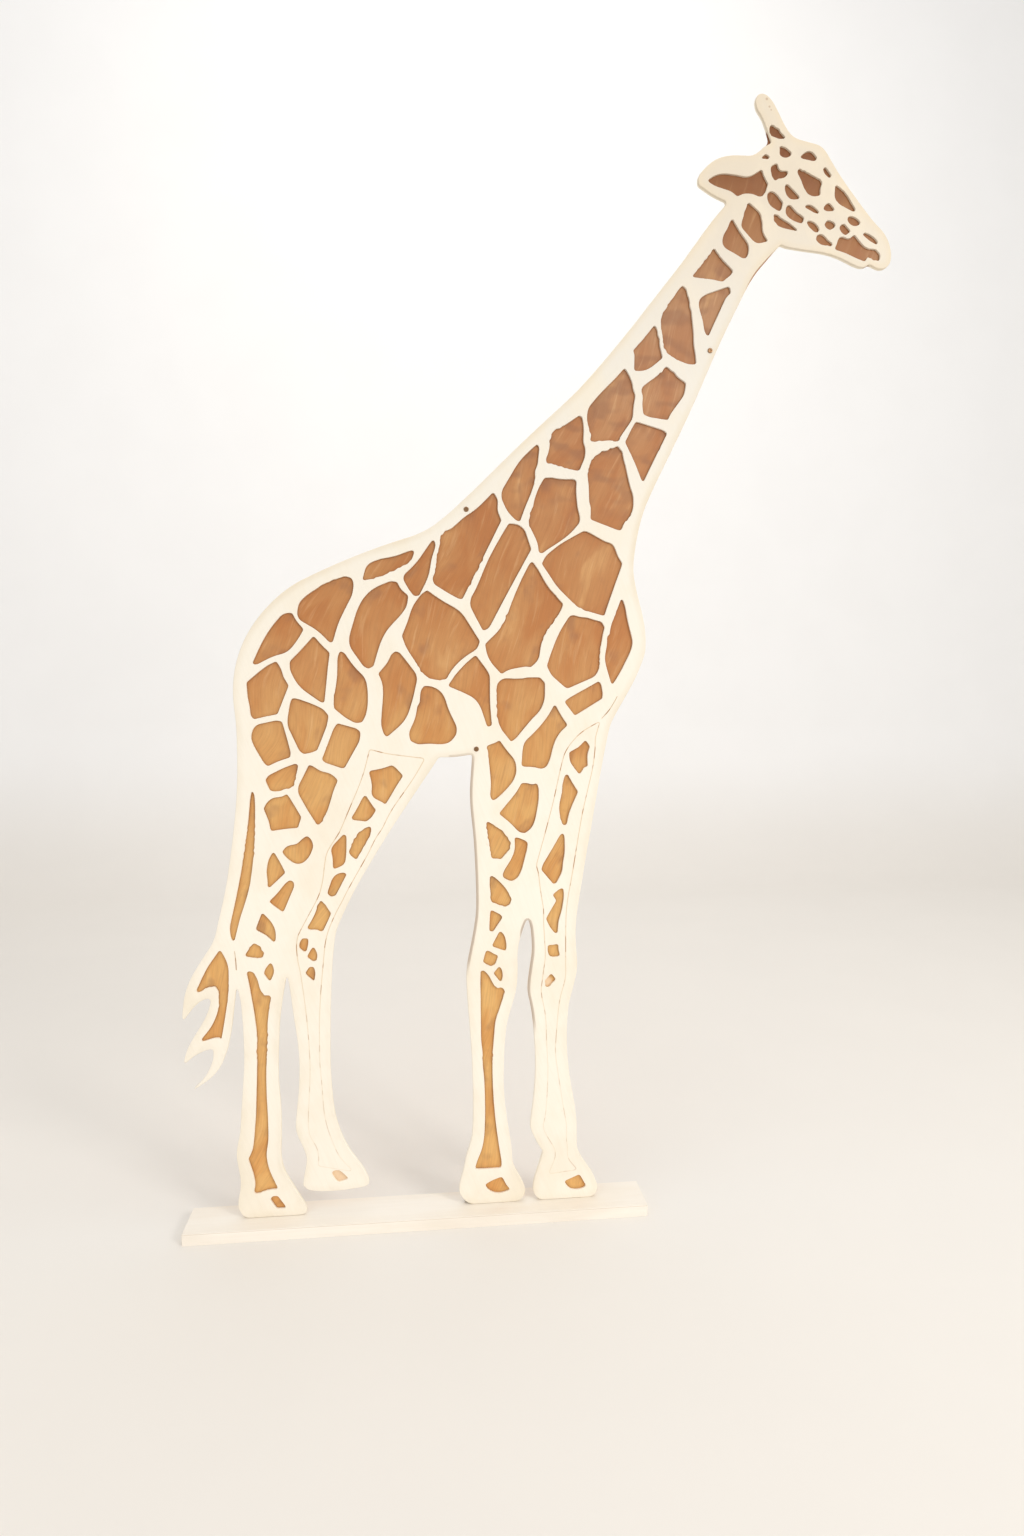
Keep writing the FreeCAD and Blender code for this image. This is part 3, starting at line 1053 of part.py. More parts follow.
def write_parts(bodies):
    """One STEP file for each sub-part."""
    os.makedirs("parts", exist_ok=True)
    for body in bodies:
        body.Shape.exportStep("parts/%s.step" % body.Label)
        box = body.Shape.BoundBox
        print("%-38s volume %10.1f  x %7.1f %7.1f  y %6.1f %6.1f  z %7.1f %7.1f" % (
            body.Label, body.Shape.Volume,
            box.XMin, box.XMax, box.YMin, box.YMax, box.ZMin, box.ZMax,
        ))


all_bodies = build_everything()
check_document(all_bodies)
write_parts(all_bodies)
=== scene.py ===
import math
import random

import bmesh
import bpy
import numpy
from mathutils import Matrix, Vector, kdtree, noise
from mathutils.geometry import delaunay_2d_cdt


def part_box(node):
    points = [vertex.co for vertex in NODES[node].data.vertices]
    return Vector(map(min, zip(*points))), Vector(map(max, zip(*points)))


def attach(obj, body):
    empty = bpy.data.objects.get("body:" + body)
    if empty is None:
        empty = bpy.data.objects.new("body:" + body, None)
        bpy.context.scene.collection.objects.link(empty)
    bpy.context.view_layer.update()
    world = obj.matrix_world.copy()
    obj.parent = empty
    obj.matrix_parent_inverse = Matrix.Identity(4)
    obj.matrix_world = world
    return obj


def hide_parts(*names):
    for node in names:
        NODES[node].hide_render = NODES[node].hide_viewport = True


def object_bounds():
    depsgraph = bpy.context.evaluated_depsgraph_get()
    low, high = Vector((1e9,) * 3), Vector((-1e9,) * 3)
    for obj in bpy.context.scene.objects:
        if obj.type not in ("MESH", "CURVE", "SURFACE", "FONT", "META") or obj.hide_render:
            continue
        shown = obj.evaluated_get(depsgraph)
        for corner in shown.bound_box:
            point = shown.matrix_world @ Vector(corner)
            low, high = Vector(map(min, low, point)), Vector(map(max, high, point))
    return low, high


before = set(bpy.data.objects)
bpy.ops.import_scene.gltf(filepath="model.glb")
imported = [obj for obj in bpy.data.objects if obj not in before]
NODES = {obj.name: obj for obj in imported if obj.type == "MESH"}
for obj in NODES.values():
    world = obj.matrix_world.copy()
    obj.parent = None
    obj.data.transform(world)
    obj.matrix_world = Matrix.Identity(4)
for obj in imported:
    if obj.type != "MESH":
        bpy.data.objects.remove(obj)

# A floor-standing giraffe, flat and in side view: a cream painted fretwork
# panel over a brown stained back panel, on a cream painted plank.
# Everything is in metres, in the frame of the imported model.

CAD_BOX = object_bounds()
OVERALL_HEIGHT = CAD_BOX[1].z - CAD_BOX[0].z
MM = 0.001


# ------------------------------------------------------------------ outlines

def face_rings(node_name, level):
    """Rings round the flat face of a node that lies at Y = level, material on the left."""
    mesh = NODES[node_name].data
    directed = set()
    for polygon in mesh.polygons:
        corners = [mesh.vertices[index].co for index in polygon.vertices]
        if all(abs(corner.y - level) < 0.05 * MM for corner in corners):
            keys = [(round(corner.x, 6), round(corner.z, 6)) for corner in corners]
            for here, after in zip(keys, keys[1:] + keys[:1]):
                directed.add((here, after))
    onward = {here: after for here, after in directed if (after, here) not in directed}
    rings = []
    while onward:
        start, here = onward.popitem()
        ring = [start]
        while here != start:
            ring.append(here)
            here = onward.pop(here)
        rings.append([Vector(key) for key in ring])
    return rings


def ring_length(ring):
    """Distance all the way round a ring."""
    return sum((after - here).length for here, after in zip(ring, ring[1:] + ring[:1]))


def ring_area(ring):
    """Area inside a ring, with the sign of its turning."""
    return sum(here.cross(after) for here, after in zip(ring, ring[1:] + ring[:1])) / 2


def oriented(rings):
    """Rings turned so that the material lies on their left, the outer ring first."""
    ordered = sorted(rings, key=lambda ring: -abs(ring_area(ring)))
    turned = []
    for number, ring in enumerate(ordered):
        counter_clockwise = ring_area(ring) > 0
        turned.append(ring if counter_clockwise == (number == 0) else ring[::-1])
    return turned


def inside(places, ring):
    """For each row of an array of points, whether it lies inside a ring."""
    corners = numpy.array([tuple(point) for point in ring])
    low = corners.min(axis=0)
    high = corners.max(axis=0)
    result = numpy.zeros(len(places), bool)
    candidates = numpy.nonzero(((places > low) & (places < high)).all(axis=1))[0]
    afters = numpy.roll(corners, -1, axis=0)
    for first in range(0, len(candidates), 500):
        chosen = candidates[first:first + 500]
        x = places[chosen, 0][:, None]
        y = places[chosen, 1][:, None]
        spans = (corners[:, 1] > y) != (afters[:, 1] > y)
        rise = numpy.where(afters[:, 1] == corners[:, 1], 1.0, afters[:, 1] - corners[:, 1])
        crossing = corners[:, 0] + (y - corners[:, 1]) / rise * (afters[:, 0] - corners[:, 0])
        result[chosen] = (spans & (x < crossing)).sum(axis=1) % 2 == 1
    return result


def resampled(ring, spacing):
    """The same ring with evenly spaced points."""
    total = ring_length(ring)
    count = max(24, int(total / spacing))
    step = total / count
    points = []
    travelled = 0.0
    due = 0.0
    for here, after in zip(ring, ring[1:] + ring[:1]):
        run = (after - here).length
        while run > 0 and due <= travelled + run and len(points) < count:
            points.append(here.lerp(after, (due - travelled) / run))
            due += step
        travelled += run
    return points


def softened(ring, rounds):
    """Takes the facets off a ring."""
    for _ in range(rounds):
        ring = [
            (before + here * 2 + after) / 4
            for before, here, after in zip(ring[-1:] + ring[:-1], ring, ring[1:] + ring[:1])
        ]
    return ring


def left_normals(ring):
    """Unit vectors to the left of the way round, at every point."""
    normals = []
    for before, after in zip(ring[-1:] + ring[:-1], ring[1:] + ring[:1]):
        run = (after - before).normalized()
        normals.append(Vector((-run.y, run.x)))
    return normals


def wave(point, per_metre, seed):
    """Smooth noise, about -1 to 1, at one point of a ring."""
    return noise.noise(Vector((point.x * per_metre, point.y * per_metre, seed)))


def hand_sawn(ring, depth, ragged_depth, seed):
    """Lets the edge wander into the material as a hand-held saw does, in places raggedly."""
    sawn = []
    for point, normal in zip(ring, left_normals(ring)):
        wander = 0.5 + 0.42 * wave(point, 70, seed) + 0.2 * wave(point, 260, seed + 7)
        ragged = min(1.0, max(0.0, 6 * wave(point, 11, seed + 20) - 1.2))
        jags = 0.3 + 1.4 * wave(point, 150, seed + 31)
        bite = depth * max(0.0, wander) + ragged_depth * ragged * max(0.0, jags)
        sawn.append(point + normal * bite)
    return sawn


def shaped(ring, depth, ragged_depth, seed):
    """A CAD ring as the hand-sawn edge that is seen."""
    spacing = min(POINT_SPACING, ring_length(ring) / 36)
    return hand_sawn(softened(resampled(ring, spacing), 1), depth, ragged_depth, seed)


def offset(ring, distance):
    """A ring with every point moved the given distance to its left."""
    return [point + normal * distance for point, normal in zip(ring, left_normals(ring))]


# ---------------------------------------------------------------- flat panels

POINT_SPACING = 2.2 * MM
GRID_SPACING = 9 * MM
ROUND_STEPS = 4


def rim_profile(radius):
    """Steps over a rounded rim: (distance into the face, distance below the face)."""
    steps = []
    for number in range(ROUND_STEPS + 1):
        angle = number / ROUND_STEPS * math.pi / 2
        steps.append((radius * (1 - math.cos(angle)), radius * (1 - math.sin(angle))))
    return steps


def grid_points(low, high, rng):
    """Loosely spread points over a rectangle."""
    points = []
    across = int((high.x - low.x) / GRID_SPACING)
    up = int((high.y - low.y) / GRID_SPACING)
    for column in range(across):
        for row in range(up):
            points.append(Vector((
                low.x + (column + 0.5 + rng.uniform(-0.25, 0.25)) * GRID_SPACING,
                low.y + (row + 0.5 + rng.uniform(-0.25, 0.25)) * GRID_SPACING,
            )))
    return points


def near_edge_tree(rings):
    """Search tree over all points of some rings."""
    tree = kdtree.KDTree(sum(len(ring) for ring in rings))
    number = 0
    for ring in rings:
        for point in ring:
            tree.insert((point.x, point.y, 0), number)
            number += 1
    tree.balance()
    return tree


def fill_face(rings, rng, extra_points):
    """Triangles over the area between the first ring and the others, with loose points."""
    points = []
    edges = []
    ring_of = []
    for number, ring in enumerate(rings):
        first = len(points)
        points += ring
        edges += [(first + n, first + (n + 1) % len(ring)) for n in range(len(ring))]
        ring_of += [number] * len(ring)
    boundary_count = len(points)
    low = Vector((min(p.x for p in points), min(p.y for p in points)))
    high = Vector((max(p.x for p in points), max(p.y for p in points)))
    tree = near_edge_tree(rings)
    loose = [
        point
        for point in grid_points(low, high, rng)
        if tree.find((point.x, point.y, 0))[2] > 0.35 * GRID_SPACING
    ] + extra_points
    loose_array = numpy.array([tuple(point) for point in loose])
    wanted = inside(loose_array, rings[0])
    for ring in rings[1:]:
        wanted &= ~inside(loose_array, ring)
    points += [point for point, keep in zip(loose, wanted) if keep]

    places, _, triangles, origins, _, _ = delaunay_2d_cdt(points, edges, [], 1, 1e-8)
    owner = numpy.array([
        ring_of[min(origin)] if origin and min(origin) < boundary_count else -1
        for origin in origins
    ])
    corners = numpy.array(triangles)
    flat_places = numpy.array([tuple(place) for place in places])
    middles = flat_places[corners].mean(axis=1)
    owners = owner[corners]
    one_ring = (owners[:, 0] == owners[:, 1]) & (owners[:, 1] == owners[:, 2])
    keep = numpy.ones(len(corners), bool)
    for number, ring in enumerate(rings):
        chosen = numpy.nonzero(one_ring & (owners[:, 0] == number))[0]
        if len(chosen):
            is_inside = inside(middles[chosen], ring)
            keep[chosen] = is_inside if number == 0 else ~is_inside
    return places, corners[keep].tolist(), origins, boundary_count


def make_panel(name, edges, hidden_y, shown_y, fill_hidden, marks, extra_points, seed):
    """Solid panel with rounded rims on its shown side; returns the object.

    edges: (ring, rim radius) pairs, the outer edge first, the material on the left.
    marks: names of stored distances, each with the rings it is measured from.
    """
    rng = random.Random(seed)
    facing = -1 if shown_y < hidden_y else 1
    mesh = bmesh.new()
    trees = {}
    for mark, marked_rings in marks.items():
        trees[mesh.verts.layers.float.new(mark)] = near_edge_tree(marked_rings)

    def add_vertex(point, y):
        vertex = mesh.verts.new((point.x, y, point.y))
        for layer, tree in trees.items():
            vertex[layer] = tree.find((point.x, point.y, 0))[2]
        return vertex

    def bridge(lower, upper, smooth):
        count = len(lower)
        for n in range(count):
            after = (n + 1) % count
            face = mesh.faces.new((lower[n], lower[after], upper[after], upper[n]))
            face.smooth = smooth

    top_rings = []
    top_vertices = []
    bottom_vertices = []
    for ring, radius in edges:
        bottom = [add_vertex(point, hidden_y) for point in ring]
        bottom_vertices += bottom
        previous = bottom
        for depth, below in rim_profile(radius):
            moved = offset(ring, depth)
            row = [add_vertex(point, shown_y - facing * below) for point in moved]
            bridge(previous, row, previous is not bottom)
            previous = row
        top_rings.append(moved)
        top_vertices += previous

    def cap(cap_rings, boundary, y):
        places, triangles, origins, boundary_count = fill_face(cap_rings, rng, extra_points)
        vertices = []
        for origin in origins:
            known = [index for index in origin if index < boundary_count]
            vertices.append(boundary[known[0]] if known else None)
        for triangle in triangles:
            corners = []
            for index in triangle:
                if vertices[index] is None:
                    vertices[index] = add_vertex(places[index], y)
                corners.append(vertices[index])
            if len(set(corners)) == 3 and mesh.faces.get(corners) is None:
                mesh.faces.new(corners)

    cap(top_rings, top_vertices, shown_y)
    if fill_hidden:
        cap([ring for ring, _ in edges], bottom_vertices, hidden_y)
    bmesh.ops.recalc_face_normals(mesh, faces=mesh.faces)
    data = bpy.data.meshes.new(name)
    mesh.to_mesh(data)
    mesh.free()
    piece = bpy.data.objects.new(name, data)
    bpy.context.scene.collection.objects.link(piece)
    return piece


# ------------------------------------------------------------------ materials

def linear(red, green, blue):
    """Colour for a shader from the usual 0 to 255 values."""
    channels = []
    for value in (red, green, blue):
        part = value / 255
        channels.append(part / 12.92 if part <= 0.04045 else ((part + 0.055) / 1.055) ** 2.4)
    return (*channels, 1.0)


class Surface:
    """Short ways to add and join the nodes of one material."""

    def __init__(self, name, roughness, specular=0.5):
        self.material = bpy.data.materials.new(name)
        self.material.use_nodes = True
        self.tree = self.material.node_tree
        self.shader = self.tree.nodes["Principled BSDF"]
        self.shader.inputs["Roughness"].default_value = roughness
        self.shader.inputs["Specular IOR Level"].default_value = specular
        self.place = self.tree.nodes.new("ShaderNodeTexCoord").outputs["Object"]

    def join(self, value, socket):
        """Links a node's result to a socket, or sets a constant on it."""
        if isinstance(value, bpy.types.NodeSocket):
            self.tree.links.new(value, socket)
        else:
            socket.default_value = value

    def turned(self, angle):
        """Place turned about Y, so that +Z of the result runs along the grain."""
        node = self.tree.nodes.new("ShaderNodeMapping")
        node.inputs["Rotation"].default_value = (0, angle, 0)
        self.join(self.place, node.inputs["Vector"])
        return node.outputs["Vector"]

    def pushed(self, vector, distance):
        """A place moved along its X by a value."""
        sideways = self.tree.nodes.new("ShaderNodeCombineXYZ")
        self.join(distance, sideways.inputs["X"])
        node = self.tree.nodes.new("ShaderNodeVectorMath")
        node.operation = "ADD"
        self.join(vector, node.inputs[0])
        self.join(sideways.outputs["Vector"], node.inputs[1])
        return node.outputs["Vector"]

    def scaled(self, vector, scale):
        """A place stretched by a factor along each axis."""
        node = self.tree.nodes.new("ShaderNodeMapping")
        node.inputs["Scale"].default_value = scale
        self.join(vector, node.inputs["Vector"])
        return node.outputs["Vector"]

    def noise(self, vector, scale=1.0, detail=2.0, roughness=0.5, distortion=0.0):
        """Smooth noise, about 0.3 to 0.7."""
        node = self.tree.nodes.new("ShaderNodeTexNoise")
        node.inputs["Scale"].default_value = scale
        node.inputs["Detail"].default_value = detail
        node.inputs["Roughness"].default_value = roughness
        node.inputs["Distortion"].default_value = distortion
        self.join(vector, node.inputs["Vector"])
        return node.outputs["Fac"]

    def math(self, operation, first, second=0.0, third=0.0):
        """Result of one step of arithmetic on two or three values."""
        node = self.tree.nodes.new("ShaderNodeMath")
        node.operation = operation
        self.join(first, node.inputs[0])
        self.join(second, node.inputs[1])
        if operation == "MULTIPLY_ADD":
            self.join(third, node.inputs[2])
        return node.outputs[0]

    def spread(self, value, low, high, to_low=0.0, to_high=1.0):
        """Eases from one value to another while the given value goes from low to high."""
        node = self.tree.nodes.new("ShaderNodeMapRange")
        node.interpolation_type = "SMOOTHSTEP"
        self.join(value, node.inputs["Value"])
        for socket, number in (
            ("From Min", low), ("From Max", high), ("To Min", to_low), ("To Max", to_high)
        ):
            node.inputs[socket].default_value = number
        return node.outputs["Result"]

    def ramp(self, value, stops):
        """Colour picked by a value from (position, colour) pairs."""
        node = self.tree.nodes.new("ShaderNodeValToRGB")
        elements = node.color_ramp.elements
        elements[0].position, elements[0].color = stops[0]
        elements[1].position, elements[1].color = stops[-1]
        for position, colour in stops[1:-1]:
            elements.new(position).color = colour
        self.join(value, node.inputs["Fac"])
        return node.outputs["Color"]

    def mix(self, share, first, second, blend="MIX"):
        """First colour, with a share of the second laid over it."""
        node = self.tree.nodes.new("ShaderNodeMix")
        node.data_type = "RGBA"
        node.blend_type = blend
        self.join(share, node.inputs["Factor"])
        self.join(first, node.inputs["A"])
        self.join(second, node.inputs["B"])
        return node.outputs["Result"]

    def axis(self, letter):
        """One coordinate of the place."""
        node = self.tree.nodes.new("ShaderNodeSeparateXYZ")
        self.join(self.place, node.inputs[0])
        return node.outputs[letter]

    def height(self):
        """Height above the floor."""
        return self.axis("Z")

    def between(self, value, low, high, softness):
        """1 between two limits, fading to 0 outside them."""
        rising = self.spread(value, low - softness, low)
        falling = self.spread(value, high, high + softness, 1.0, 0.0)
        return self.math("MULTIPLY", rising, falling)

    def stored(self, name):
        """A distance stored with the points of the mesh."""
        node = self.tree.nodes.new("ShaderNodeAttribute")
        node.attribute_name = name
        return node.outputs["Fac"]

    def near(self, centre, inner, outer):
        """1 within inner of a point, 0 beyond outer."""
        node = self.tree.nodes.new("ShaderNodeVectorMath")
        node.operation = "DISTANCE"
        self.join(self.place, node.inputs[0])
        node.inputs[1].default_value = centre
        return self.spread(node.outputs["Value"], inner, outer, 1.0, 0.0)

    def bump(self, value, strength, distance, below=None):
        """Fine relief, on top of another relief if one is given."""
        node = self.tree.nodes.new("ShaderNodeBump")
        node.inputs["Strength"].default_value = strength
        node.inputs["Distance"].default_value = distance
        self.join(value, node.inputs["Height"])
        if below is not None:
            self.join(below, node.inputs["Normal"])
        return node.outputs["Normal"]

    def finish(self, colour, normal=None, roughness=None):
        """Joins the results to the shader and returns the material."""
        self.join(colour, self.shader.inputs["Base Color"])
        if normal is not None:
            self.join(normal, self.shader.inputs["Normal"])
        if roughness is not None:
            self.join(roughness, self.shader.inputs["Roughness"])
        return self.material


# Nicks in the paint up the front of the horn: (place, inner radius, outer radius).
HORN_NICKS = (
    ((0.594, -0.004, 1.926), 0.8 * MM, 3.2 * MM),
    ((0.599, -0.004, 1.914), 0.6 * MM, 2.6 * MM),
    ((0.602, -0.004, 1.909), 0.5 * MM, 2.0 * MM),
)
# Where a grey-brown band of painted shade, standing for the side edge in shade, runs down the left
# edges
# of the near and the far front leg: (lowest X, highest X, lowest Z, highest Z).
SHADED_EDGE_BANDS = ((0.055, 0.110, 0.47, 0.80), (0.178, 0.206, 0.36, 0.52))
# Pale patches in the far hind hoof and in the lowest spot of the far front leg.
PALE_PATCHES = (
    ((-0.139, 0.0, 0.087), 0.02, 0.03),
    ((0.224, 0.0, 0.419), 0.004, 0.012),
)
# Where paint is missing from the edge of the back panel, with the share that is missing:
# the throat, the horn, the chin, and thinly the left edges of the two front legs, where the
# grey-brown that the stain gives is painted shade standing for the side edge in shade.
BARE_AND_SHADED_EDGES = (
    ((0.590, 0.0, 1.654), 0.020, 0.040, 1.0),
    ((0.600, 0.0, 1.862), 0.010, 0.016, 1.0),
    ((0.781, 0.0, 1.664), 0.004, 0.008, 1.0),
    ((0.090, 0.0, 0.640), 0.150, 0.210, 0.45),
    ((0.192, 0.0, 0.430), 0.080, 0.120, 0.45),
)
# Turn of the brush strokes and of the plywood's grain away from upright, in radians.
BRUSH_TURN = 0.35
GRAIN_TURN = -0.30
# How far the slow bends of the grain carry it sideways.
GRAIN_BEND = 0.22
# Heights between which the stain on the neck is mottled.
NECK_SPAN = (1.30, 1.60)


def cream_paint():
    """Matt cream paint, brushed by hand, duller toward the head, with painted shade at the outer
    rims.
    """
    surface = Surface("cream_paint", 0.62, 0.3)
    by_height = surface.ramp(surface.math("DIVIDE", surface.height(), OVERALL_HEIGHT), [
        (0.0, linear(252, 244, 229)),
        (0.30, linear(250, 242, 227)),
        (0.55, linear(241, 234, 220)),
        (0.70, linear(232, 226, 214)),
        (0.80, linear(225, 219, 208)),
        (0.92, linear(217, 205, 186)),
    ])
    clouds = surface.noise(surface.scaled(surface.place, (9, 9, 6)), 1.0, 4.0, 0.6)
    colour = surface.mix(
        surface.spread(clouds, 0.42, 0.72, 0.0, 0.45), by_height, linear(238, 225, 200)
    )
    brush = surface.noise(surface.scaled(surface.turned(BRUSH_TURN), (320, 320, 16)), 1.0, 3.0, 0.6)
    colour = surface.mix(
        surface.spread(brush, 0.35, 0.75, 0.0, 0.10), colour, linear(226, 212, 188)
    )
    # Painted shade: a duller beige band along the outer rims, stronger higher up and patchy.
    rim = surface.spread(surface.stored("outer_edge"), 1 * MM, 14 * MM, 1.0, 0.0)
    rim_shade_share = surface.math("MULTIPLY", rim, surface.spread(surface.height(), 0.5, 1.1, 0.15, 0.5))
    patchy_rim_shade = surface.math("MULTIPLY", rim_shade_share, surface.spread(clouds, 0.3, 0.6, 0.5, 1.0))
    colour = surface.mix(patchy_rim_shade, colour, linear(222, 206, 178))
    # Painted shade: a grey-brown band just inside the outer edge, down the front legs' left sides.
    edge_shade_rim = surface.spread(surface.stored("outer_edge"), 2.8 * MM, 5.0 * MM, 0.78, 0.0)
    for left, right, low, high in SHADED_EDGE_BANDS:
        across = surface.between(surface.axis("X"), left, right, 4 * MM)
        upward = surface.between(surface.height(), low, high, 0.04)
        band = surface.math("MULTIPLY", edge_shade_rim, surface.math("MULTIPLY", across, upward))
        colour = surface.mix(band, colour, linear(180, 160, 142))
    scuff_noise = surface.noise(surface.scaled(surface.place, (38, 38, 30)), 1.0, 5.0, 0.62, 0.6)
    scuffs = surface.math(
        "MULTIPLY",
        surface.spread(scuff_noise, 0.69, 0.80, 0.0, 0.45),
        surface.spread(surface.stored("any_edge"), 2 * MM, 30 * MM, 1.0, 0.15),
    )
    colour = surface.mix(scuffs, colour, linear(200, 168, 130))

    line = surface.spread(surface.stored("seam"), 0.45 * MM, 1.1 * MM, 1.0, 0.0)
    fade = surface.spread(surface.height(), 0.2, 0.6, 0.3, 1.0)
    line = surface.math("MULTIPLY", line, fade)
    dash_noise = surface.noise(surface.place, 42.0, 2.0, 0.5)
    colour = surface.mix(surface.math("MULTIPLY", line, 0.7), colour, linear(222, 196, 158))
    dashes = surface.math("MULTIPLY", line, surface.spread(dash_noise, 0.51, 0.61, 0.0, 0.85))
    colour = surface.mix(dashes, colour, linear(176, 124, 74))

    for place, inner, outer in HORN_NICKS:
        nick = surface.math("MULTIPLY", surface.near(place, inner, outer), 0.5)
        colour = surface.mix(nick, colour, linear(160, 118, 78))
    stipple = surface.noise(surface.place, 900.0, 3.0, 0.6)
    normal = surface.bump(brush, 0.22, 0.0006)
    normal = surface.bump(stipple, 0.10, 0.0004, normal)
    rough = surface.spread(clouds, 0.3, 0.7, 0.55, 0.7)
    return surface.finish(colour, normal, rough)


def stained_wood():
    """Brown stain on plywood: fine slanting grain, soft clouds, a dark line at each spot, partly
    stain and partly painted shade.
    """
    surface = Surface("stained_plywood", 0.5, 0.35)
    height = surface.height()
    by_height = surface.ramp(surface.math("DIVIDE", height, OVERALL_HEIGHT), [
        (0.02, linear(232, 180, 110)),
        (0.22, linear(229, 181, 112)),
        (0.40, linear(219, 168, 103)),
        (0.50, linear(199, 143, 88)),
        (0.58, linear(190, 133, 81)),
        (0.68, linear(188, 133, 86)),
        (0.80, linear(187, 144, 107)),
        (0.90, linear(175, 125, 78)),
        (0.97, linear(146, 96, 58)),
    ])
    bend = surface.noise(surface.place, 2.2, 2.0, 0.5)
    along = surface.pushed(
        surface.turned(GRAIN_TURN), surface.math("MULTIPLY", bend, GRAIN_BEND)
    )

    fibre = surface.noise(surface.scaled(along, (420, 420, 20)), 1.0, 4.0, 0.62)
    streak = surface.noise(surface.scaled(along, (120, 120, 11)), 1.0, 4.0, 0.6, 0.3)
    cloud = surface.noise(surface.scaled(along, (17, 17, 8)), 1.0, 3.0, 0.55, 0.3)
    smudge = surface.noise(surface.scaled(along, (27, 27, 20)), 1.0, 2.0, 0.5)

    redder = surface.mix(1.0, by_height, linear(242, 222, 206), "MULTIPLY")
    colour = surface.mix(surface.spread(cloud, 0.40, 0.66, 0.0, 0.9), by_height, redder)
    colour = surface.mix(
        surface.spread(cloud, 0.42, 0.28, 0.0, 0.38), colour, linear(224, 178, 120)
    )
    colour = surface.mix(
        surface.spread(streak, 0.50, 0.74, 0.0, 0.26), colour, linear(168, 116, 74)
    )
    colour = surface.mix(
        surface.spread(streak, 0.46, 0.28, 0.0, 0.26), colour, linear(232, 192, 142)
    )
    colour = surface.mix(
        surface.spread(smudge, 0.56, 0.74, 0.0, 0.42), colour, linear(146, 102, 76)
    )
    on_neck = surface.between(height, *NECK_SPAN, 0.12)
    mottle = surface.noise(surface.scaled(surface.place, (24, 24, 40)), 1.0, 1.0, 0.5)
    mottled = surface.math("MULTIPLY", surface.spread(mottle, 0.44, 0.66, 0.0, 0.44), on_neck)
    colour = surface.mix(mottled, colour, linear(140, 98, 74))
    colour = surface.mix(
        surface.spread(fibre, 0.40, 0.70, 0.0, 0.22), colour, linear(152, 104, 66)
    )
    head_tone = surface.ramp(surface.math("DIVIDE", height, OVERALL_HEIGHT), [
        (0.50, linear(255, 255, 255)),
        (0.84, linear(244, 240, 236)),
        (0.93, linear(214, 200, 188)),
    ])
    colour = surface.mix(1.0, colour, head_tone, "MULTIPLY")

    on_front = surface.spread(surface.axis("Y"), 0.4 * MM, 1.2 * MM, 1.0, 0.0)
    from_edge = surface.stored("spot_edge")
    # Darker near each spot's edge: partly stain, partly painted shade where the fretwork's walls
    # meet the back panel.
    broad_edge_stain_and_shade = surface.math(
        "MULTIPLY", surface.spread(from_edge, 1 * MM, 7 * MM, 0.22, 0.0), on_front
    )
    colour = surface.mix(broad_edge_stain_and_shade, colour, linear(150, 100, 60))
    uneven = surface.math(
        "MULTIPLY", surface.spread(smudge, 0.35, 0.65, 0.25, 0.62), on_front
    )
    edge_line_stain_and_shade = surface.math(
        "MULTIPLY", surface.spread(from_edge, 0.7 * MM, 2.2 * MM, 1.0, 0.0), uneven
    )
    colour = surface.mix(edge_line_stain_and_shade, colour, linear(142, 92, 50))

    for place, inner, outer in PALE_PATCHES:
        pale = surface.math("MULTIPLY", surface.near(place, inner, outer), 0.72)
        pale = surface.math("MULTIPLY", pale, on_front)
        colour = surface.mix(pale, colour, linear(249, 224, 192))

    # Cream paint lapping onto the back panel's edge, with stain showing where it is missing; on the
    # front legs' left edges this grey-brown is painted shade.
    painted = surface.spread(surface.stored("outline"), 0.2 * MM, 0.8 * MM, 1.0, 0.0)
    for place, inner, outer, stain_share in BARE_AND_SHADED_EDGES:
        kept = surface.math(
            "MULTIPLY_ADD", surface.near(place, inner, outer), -stain_share, 1.0
        )
        painted = surface.math("MULTIPLY", painted, kept)
    colour = surface.mix(painted, colour, linear(238, 228, 208))
    normal = surface.bump(fibre, 0.30, 0.0005)
    rough = surface.spread(streak, 0.3, 0.7, 0.42, 0.58)
    return surface.finish(colour, normal, rough)


def plank_paint():
    """Cream paint on the plank: bright front edge, greyer top and a darker line under its rounded
    edge, both painted shade, with soft long brush marks.
    """
    surface = Surface("plank_paint", 0.5, 0.4)
    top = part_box("base_board")[1].z
    brush = surface.noise(surface.scaled(surface.place, (7, 160, 160)), 1.0, 4.0, 0.6)
    clouds = surface.noise(surface.scaled(surface.place, (5, 16, 16)), 1.0, 3.0, 0.55)
    # Painted shade: one paint, drawn greyer on the top face than on the front.
    shaded_top = surface.spread(surface.height(), top - 0.8 * MM, top - 0.1 * MM)
    colour = surface.mix(shaded_top, linear(252, 244, 232), linear(240, 232, 220))
    colour = surface.mix(surface.spread(clouds, 0.4, 0.7, 0.0, 0.4), colour, linear(234, 222, 204))
    colour = surface.mix(surface.spread(brush, 0.4, 0.75, 0.0, 0.10), colour, linear(222, 206, 184))
    # Painted shade: a darker line on the front just below the rounded top edge.
    arris_shade = surface.math(
        "MULTIPLY",
        surface.spread(surface.height(), top - 1.9 * MM, top - 1.2 * MM),
        surface.spread(surface.height(), top - 0.9 * MM, top - 0.3 * MM, 0.5, 0.0),
    )
    colour = surface.mix(arris_shade, colour, linear(206, 188, 164))
    normal = surface.bump(brush, 0.15, 0.0005)
    rough = surface.spread(clouds, 0.3, 0.7, 0.42, 0.58)
    return surface.finish(colour, normal, rough)


